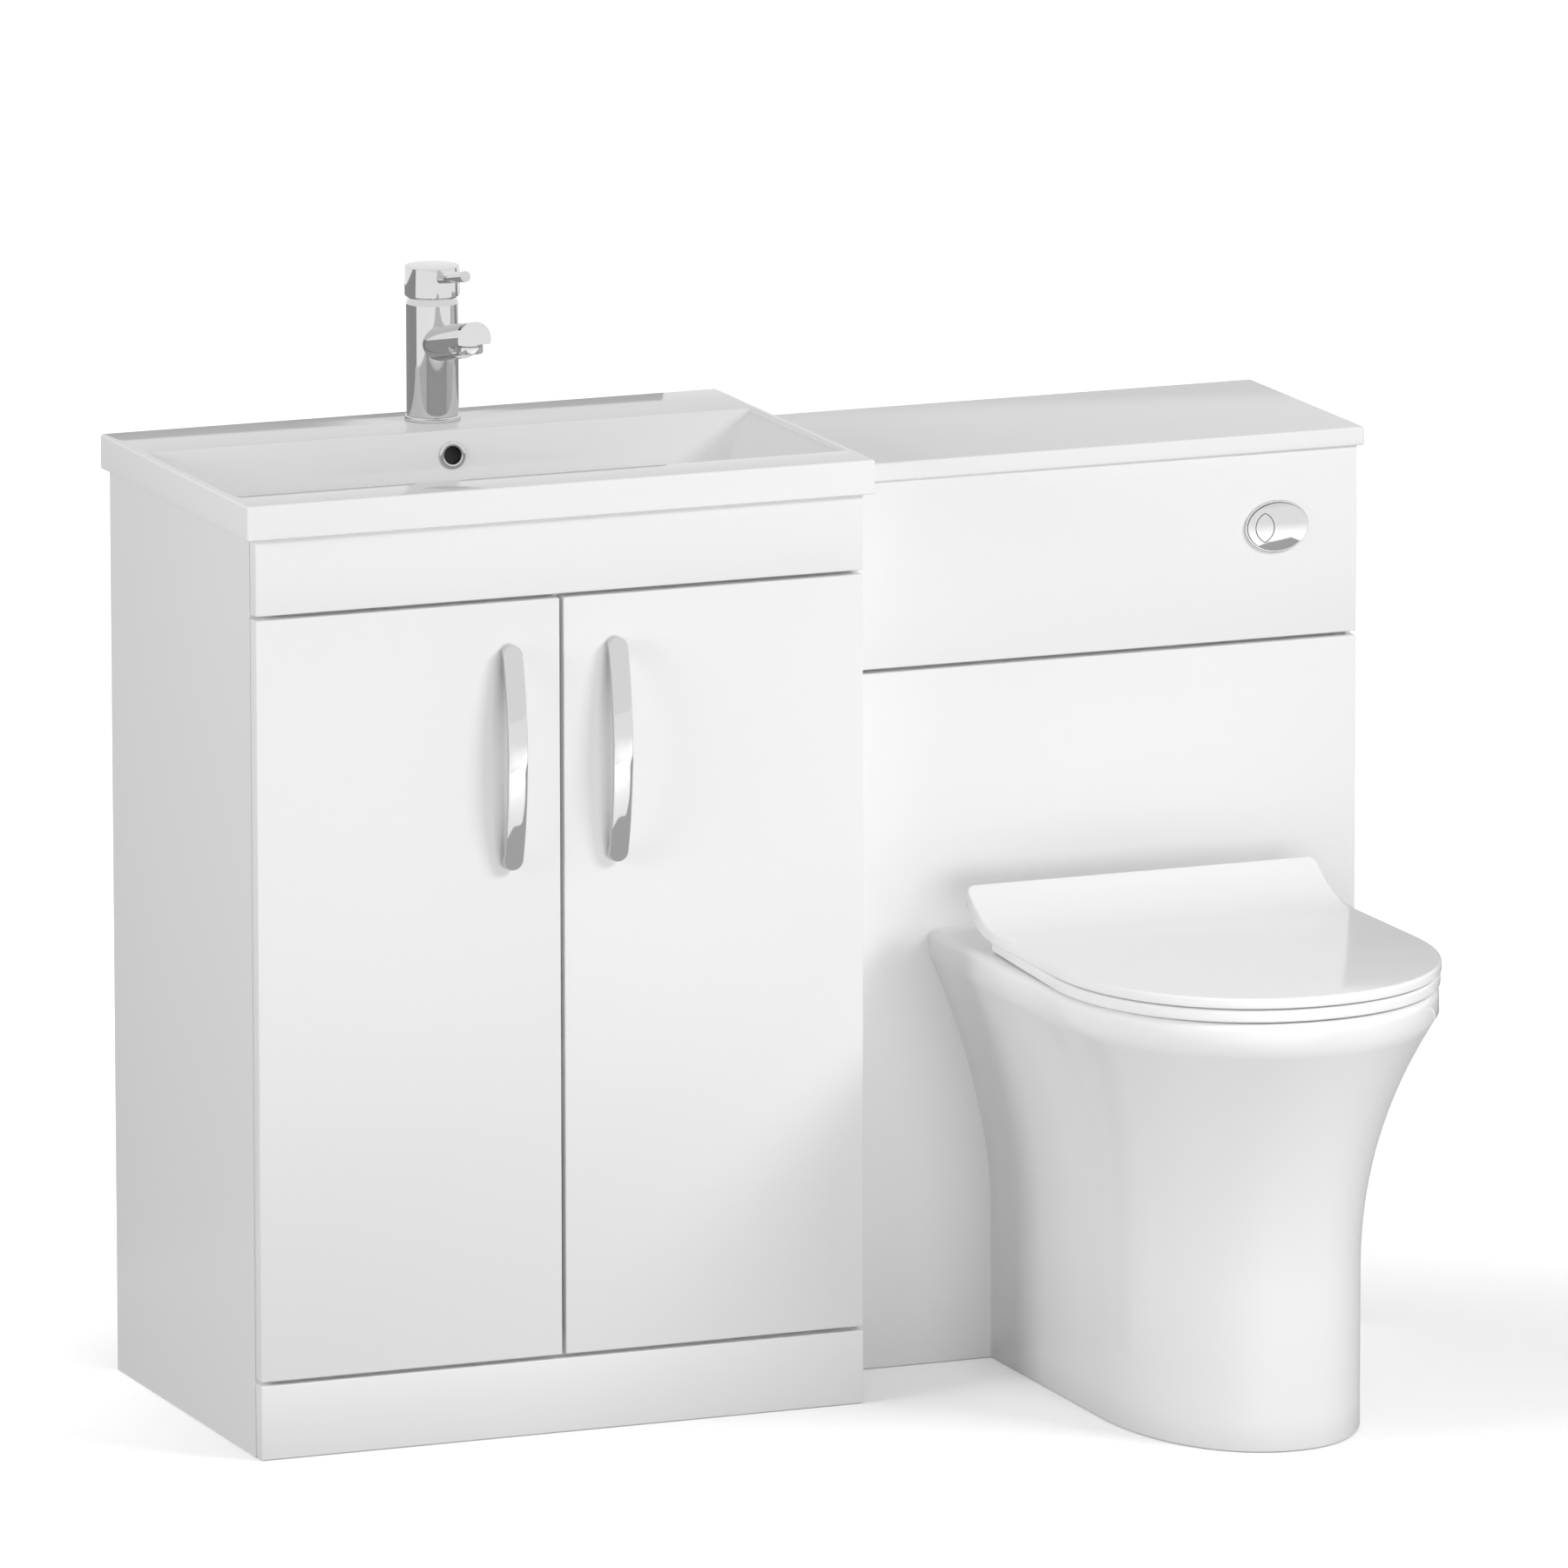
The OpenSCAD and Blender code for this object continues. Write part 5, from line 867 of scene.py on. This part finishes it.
def pan_half(z, e=0):
    """Right half of the pan's outline at height z, e inside its edge."""
    return half_outline(min(rim_half, blend_of(foot_half + 1, rim_half - 1, flare(z, 1.75))) - e, pan_rear,
                        min(rim_half, blend_of(foot_half, rim_half, flare(z, 2.3))) - e,
                        blend_of(foot_curve, rim_curve, min(1, flare(z, 1.8))),
                        min(pan_reach, blend_of(pan_reach - foot_back, pan_reach, flare(z, 1.9))) - e, z)


def pan_bowl_half(a):
    """Right half of the bowl, a radians on from its mouth towards its sump."""
    c = cos(a)
    return half_oval(blend_of(sump_half, mouth_half, c), blend_of(sump_y, mouth_mid, c),
                     blend_of(sump_len, mouth_mid - mouth_rear, c),
                     blend_of(sump_len, mouth_front - mouth_mid, c),
                     pan_h - mouth_ease - (bowl_down - mouth_ease) * sin(a), bowl_fuller * sin(2 * a))


def mouth_oval(a):
    """Right half of the mouth's rounded edge, a radians on from the flat rim."""
    out = mouth_ease * (1 - sin(a))
    return half_oval(mouth_half + out, mouth_mid, mouth_mid - mouth_rear + out, mouth_front - mouth_mid + out,
                     pan_h - mouth_ease * (1 - cos(a)))


foot_ease = 2
pan_rings = [whole(pan_half(0, foot_ease)), whole(pan_half(0.6, foot_ease * 0.3)), whole(pan_half(foot_ease))]
pan_rings += [whole(pan_half(z)) for z in (30, 75, 110, 135)]
pan_rings += [whole(pan_half(blend_of(flare_z, band_z, k / 24))) for k in range(25)]
pan_rings += [whole(pan_half(pan_h - rim_ease * (1 - sin(a)), rim_ease * (1 - cos(a))))
              for a in (radians(90 * k / 8) for k in range(9))]
pan_rings += [whole(mouth_oval(a)) for a in quarter]
pan_rings += [whole(pan_bowl_half(pi / 2 * k / 32)) for k in range(1, 33)]
pan_rings += [whole(half_oval(sump_half - e, sump_y, sump_len - rear_e, sump_len - e,
                              pan_h - bowl_down - down))
              for e, rear_e, down in ((2, 3, 6), (6, 8, sump_drop - 5), (12, 14, sump_drop))]
pan_mesh = solid([loft(pan_rings)])
hollow_in, hollow_out, hollow_rear = 58, 102.7, 286
hollows = []
for hand in (-1, 1):
    x0, x1 = sorted((pan_x + hand * hollow_in, pan_x + hand * hollow_out))
    for front, low_z, high_z in ((460, -5, 250), (395, 200, 393)):
        hollows.append(solid([box_part(x0, x1, off_wall(front), off_wall(hollow_rear), low_z, high_z)]))
hollows.append(solid([box_part(pan_x - hollow_out, pan_x + hollow_out, off_wall(620), off_wall(480),
                               -5, 105)]))
way_r, way_l, way_rise, inlet_r, inlet_l = 36, 120, radians(59), 28, 55
way_place = Matrix.Translation((pan_x, off_wall(sump_y - 12), 194)) @ Matrix.Rotation(-way_rise, 4, "X")
hollows.append(solid([turned([(way_r, 0), (way_r, way_l)], way_place, 64)]))
hollows.append(solid([turned([(inlet_r, -10), (inlet_r, inlet_l)],
                             across(pan_x, off_wall(pan_rear), inlet_z), 64)]))
pan_mesh = carved(pan_mesh, hollows)
spigot_in, spigot_out, spigot_l, spigot_root = 40, 51, 74, 4
spigot = turned([(spigot_in, 0), (spigot_out, 0), (spigot_out, spigot_l), (spigot_in, spigot_l)],
                Matrix.Translation((pan_x, off_wall(pan_rear + spigot_root), soil_z))
                @ Matrix.Rotation(-pi / 2, 4, "X"))
dress("pan_casting", pan_mesh, glaze, "run", ("pan",), 35)
piece("pan_spigot", [spigot], glaze, "run", ())
clad(zinc, "pan_fixings")


# ---------- Seat ----------
# Slim seat and lid in white gloss thermoset: a D-shaped ring on four buffers and a lid whose
# rear sweeps up over the chromed hinge posts.
thermoset = Finish("seat_thermoset", (0.92, 0.92, 0.92), Roughness=0.1)
thermoset.feed("Roughness", 0.08 + thermoset.noise(8, 3) * 0.05)
thermoset.feed("Normal", thermoset.bump(thermoset.noise(30, 2), 0.00002))
thermoset.feed("Base Color", thermoset.wire.mix((0.915, 0.915, 0.915, 1), (0.925, 0.925, 0.925, 1),
                                               thermoset.noise(3, 2)))
ring_z, ring_t, lid_gap, lid_t = 420.5, 11.5, 1.5, 10
lid_z = ring_z + ring_t + lid_gap
lid_half, lid_front, lid_rear, lid_curve, lid_rear_in = 182.5, 780, 344, 575, 3.5
sweep_rise, sweep_l, rear_round = 33.5, 96, 9


def lid_top(y):
    """Height of the lid's top over the bottom of its flat part."""
    return lid_t + sweep_rise * max(0, (lid_rear + sweep_l - y) / sweep_l) ** 2.4


def lid_under(y):
    """Height of the lid's underside over the bottom of its flat part."""
    return (sweep_rise - 6) * max(0, (lid_rear + sweep_l - 9 - y) / (sweep_l - 9)) ** 3


def shell_half(rear_half, rear_y, half, curve_y, front_y, e, round_r):
    """Right half of a D with a rounded rear corner and extra rows behind, e inside its edge."""
    r = max(0.5, round_r - e)
    corner = [(rear_half - e - r + r * sin(a), rear_y + e + r - r * cos(a))
              for a in (pi / 2 * k / 8 for k in range(8))]
    rows = 40
    sides = [(blend_of(rear_half, half, k / rows) - e, blend_of(rear_y + e + r, curve_y, k / rows))
             for k in range(rows)]
    return corner + sides + nose_half(half - e, curve_y, front_y - e)


def shell_ring(half, height):
    """Closed loop in the room from a right half, at the height that its distance gives."""
    points = [(pan_x + x, off_wall(y), height(y)) for x, y in half]
    return points + [(2 * pan_x - x, y, z) for x, y, z in reversed(points[:-1])]


def rungs(count, start):
    """Faces across a shell ring: its first row is open, its last point is shared."""
    last = 2 * count - 2
    return [(start + k, start + k + 1, start + last - k - 1, start + last - k) for k in range(count - 2)] + [
        (start + count - 2, start + count - 1, start + count)]


def lid_ring(e, height):
    """Loop of the lid's edge, e inside it."""
    return shell_ring(shell_half(lid_half - lid_rear_in, lid_rear, lid_half, lid_curve, lid_front, e,
                                 rear_round), height)


top_r, low_r = 3.0, 1.5
lid_rings = [lid_ring(low_r * (1 - sin(a)), lambda y, a=a: lid_z + lid_under(y) + low_r * (1 - cos(a)))
             for a in quarter]
lid_rings += [lid_ring(top_r * (1 - cos(a)), lambda y, a=a: lid_z + lid_top(y) - top_r * (1 - sin(a)))
              for a in quarter]
points, faces = loft(lid_rings, caps=False)
half_points = (len(lid_rings[0]) + 1) // 2
faces += rungs(half_points, 0) + rungs(half_points, len(lid_rings[0]) * (len(lid_rings) - 1))
piece("lid_shell", [(points, faces)], thermoset, "lid", ("seat_lid",), 40)

ring_half, ring_rear, ring_rear_in, ring_round = lid_half - 1, 385, 12, 6
hole_half, hole_mid, hole_rear, hole_front = 112, 598, 478, 718


def ring_outer(e, z):
    """Loop of the seat ring's outer edge, e inside it."""
    return shell_ring(shell_half(ring_half - ring_rear_in, ring_rear, ring_half, lid_curve, lid_front - 1, e,
                                 ring_round), lambda y: z)


def ring_hole(e, z):
    """Loop of the seat ring's hole, e outside its edge."""
    count = 48
    back = [((hole_half + e) * sin(a), hole_mid - (hole_mid - hole_rear + e) * cos(a))
            for a in (pi / 2 * (k + 0.5) / count for k in range(count))]
    nose = [((hole_half + e) * cos(a), hole_mid + (hole_front - hole_mid + e) * sin(a))
            for a in (pi / 2 * k / front_count for k in range(front_count + 1))]
    return shell_ring(back + nose, lambda y: z)


ring_top, under_r, outer_r, hole_r = ring_z + ring_t, 2, 3, 4
seat_rings = [ring_outer(under_r * (1 - sin(a)), ring_z + under_r * (1 - cos(a))) for a in quarter]
seat_rings += [ring_outer(outer_r * (1 - cos(a)), ring_top - outer_r * (1 - sin(a))) for a in quarter]
seat_rings += [ring_hole(hole_r * cos(a), ring_top - hole_r * (1 - sin(a))) for a in reversed(quarter)]
seat_rings += [ring_hole(under_r * (1 - cos(a)), ring_z + under_r * (1 - sin(a))) for a in quarter]
seat_axis_y, seat_axis_z, knuckle_r, arm_in = 352, 440, 7.5, 3


def knuckle_part(x0, x1, arm):
    """Knuckle round the hinge pin with the arm that joins it to its shell."""
    disc = [(seat_axis_y + knuckle_r * cos(a), seat_axis_z + knuckle_r * sin(a))
            for a in (2 * pi * k / 48 for k in range(48))]
    return [loft([[(x, off_wall(y), z) for y, z in outline] for x in (x0, x1)]) for outline in (disc, arm)]


ring_arm = [(352, 447.5), (359.5, 440), (385, 432), (405, 432), (405, 420.5), (385, 420.5), (352, 432.5)]
lid_arm = [(344.5, 440), *((y, lid_z + lid_under(y) + arm_in) for y in (344.5, 365.5)), (359.5, 440)]


def knuckle_pair(near, far, arm):
    """Knuckles left and right of the pan's middle."""
    return [part for hand in (-1, 1)
            for part in knuckle_part(*sorted((pan_x + hand * near, pan_x + hand * far)), arm)]


ring_knuckles, lid_knuckles = knuckle_pair(55.5, 69.5, ring_arm), knuckle_pair(85.5, 99.5, lid_arm)
piece("ring_shell", [loft(seat_rings, wrap=True), *ring_knuckles], thermoset, "ring", ("seat_ring",),
      40)
piece("lid_knuckles", lid_knuckles, thermoset, "lid", (), 40)
clad(chrome, "seat_hinges")
clad(rubber, "seat_buffers", "lid_buffers")
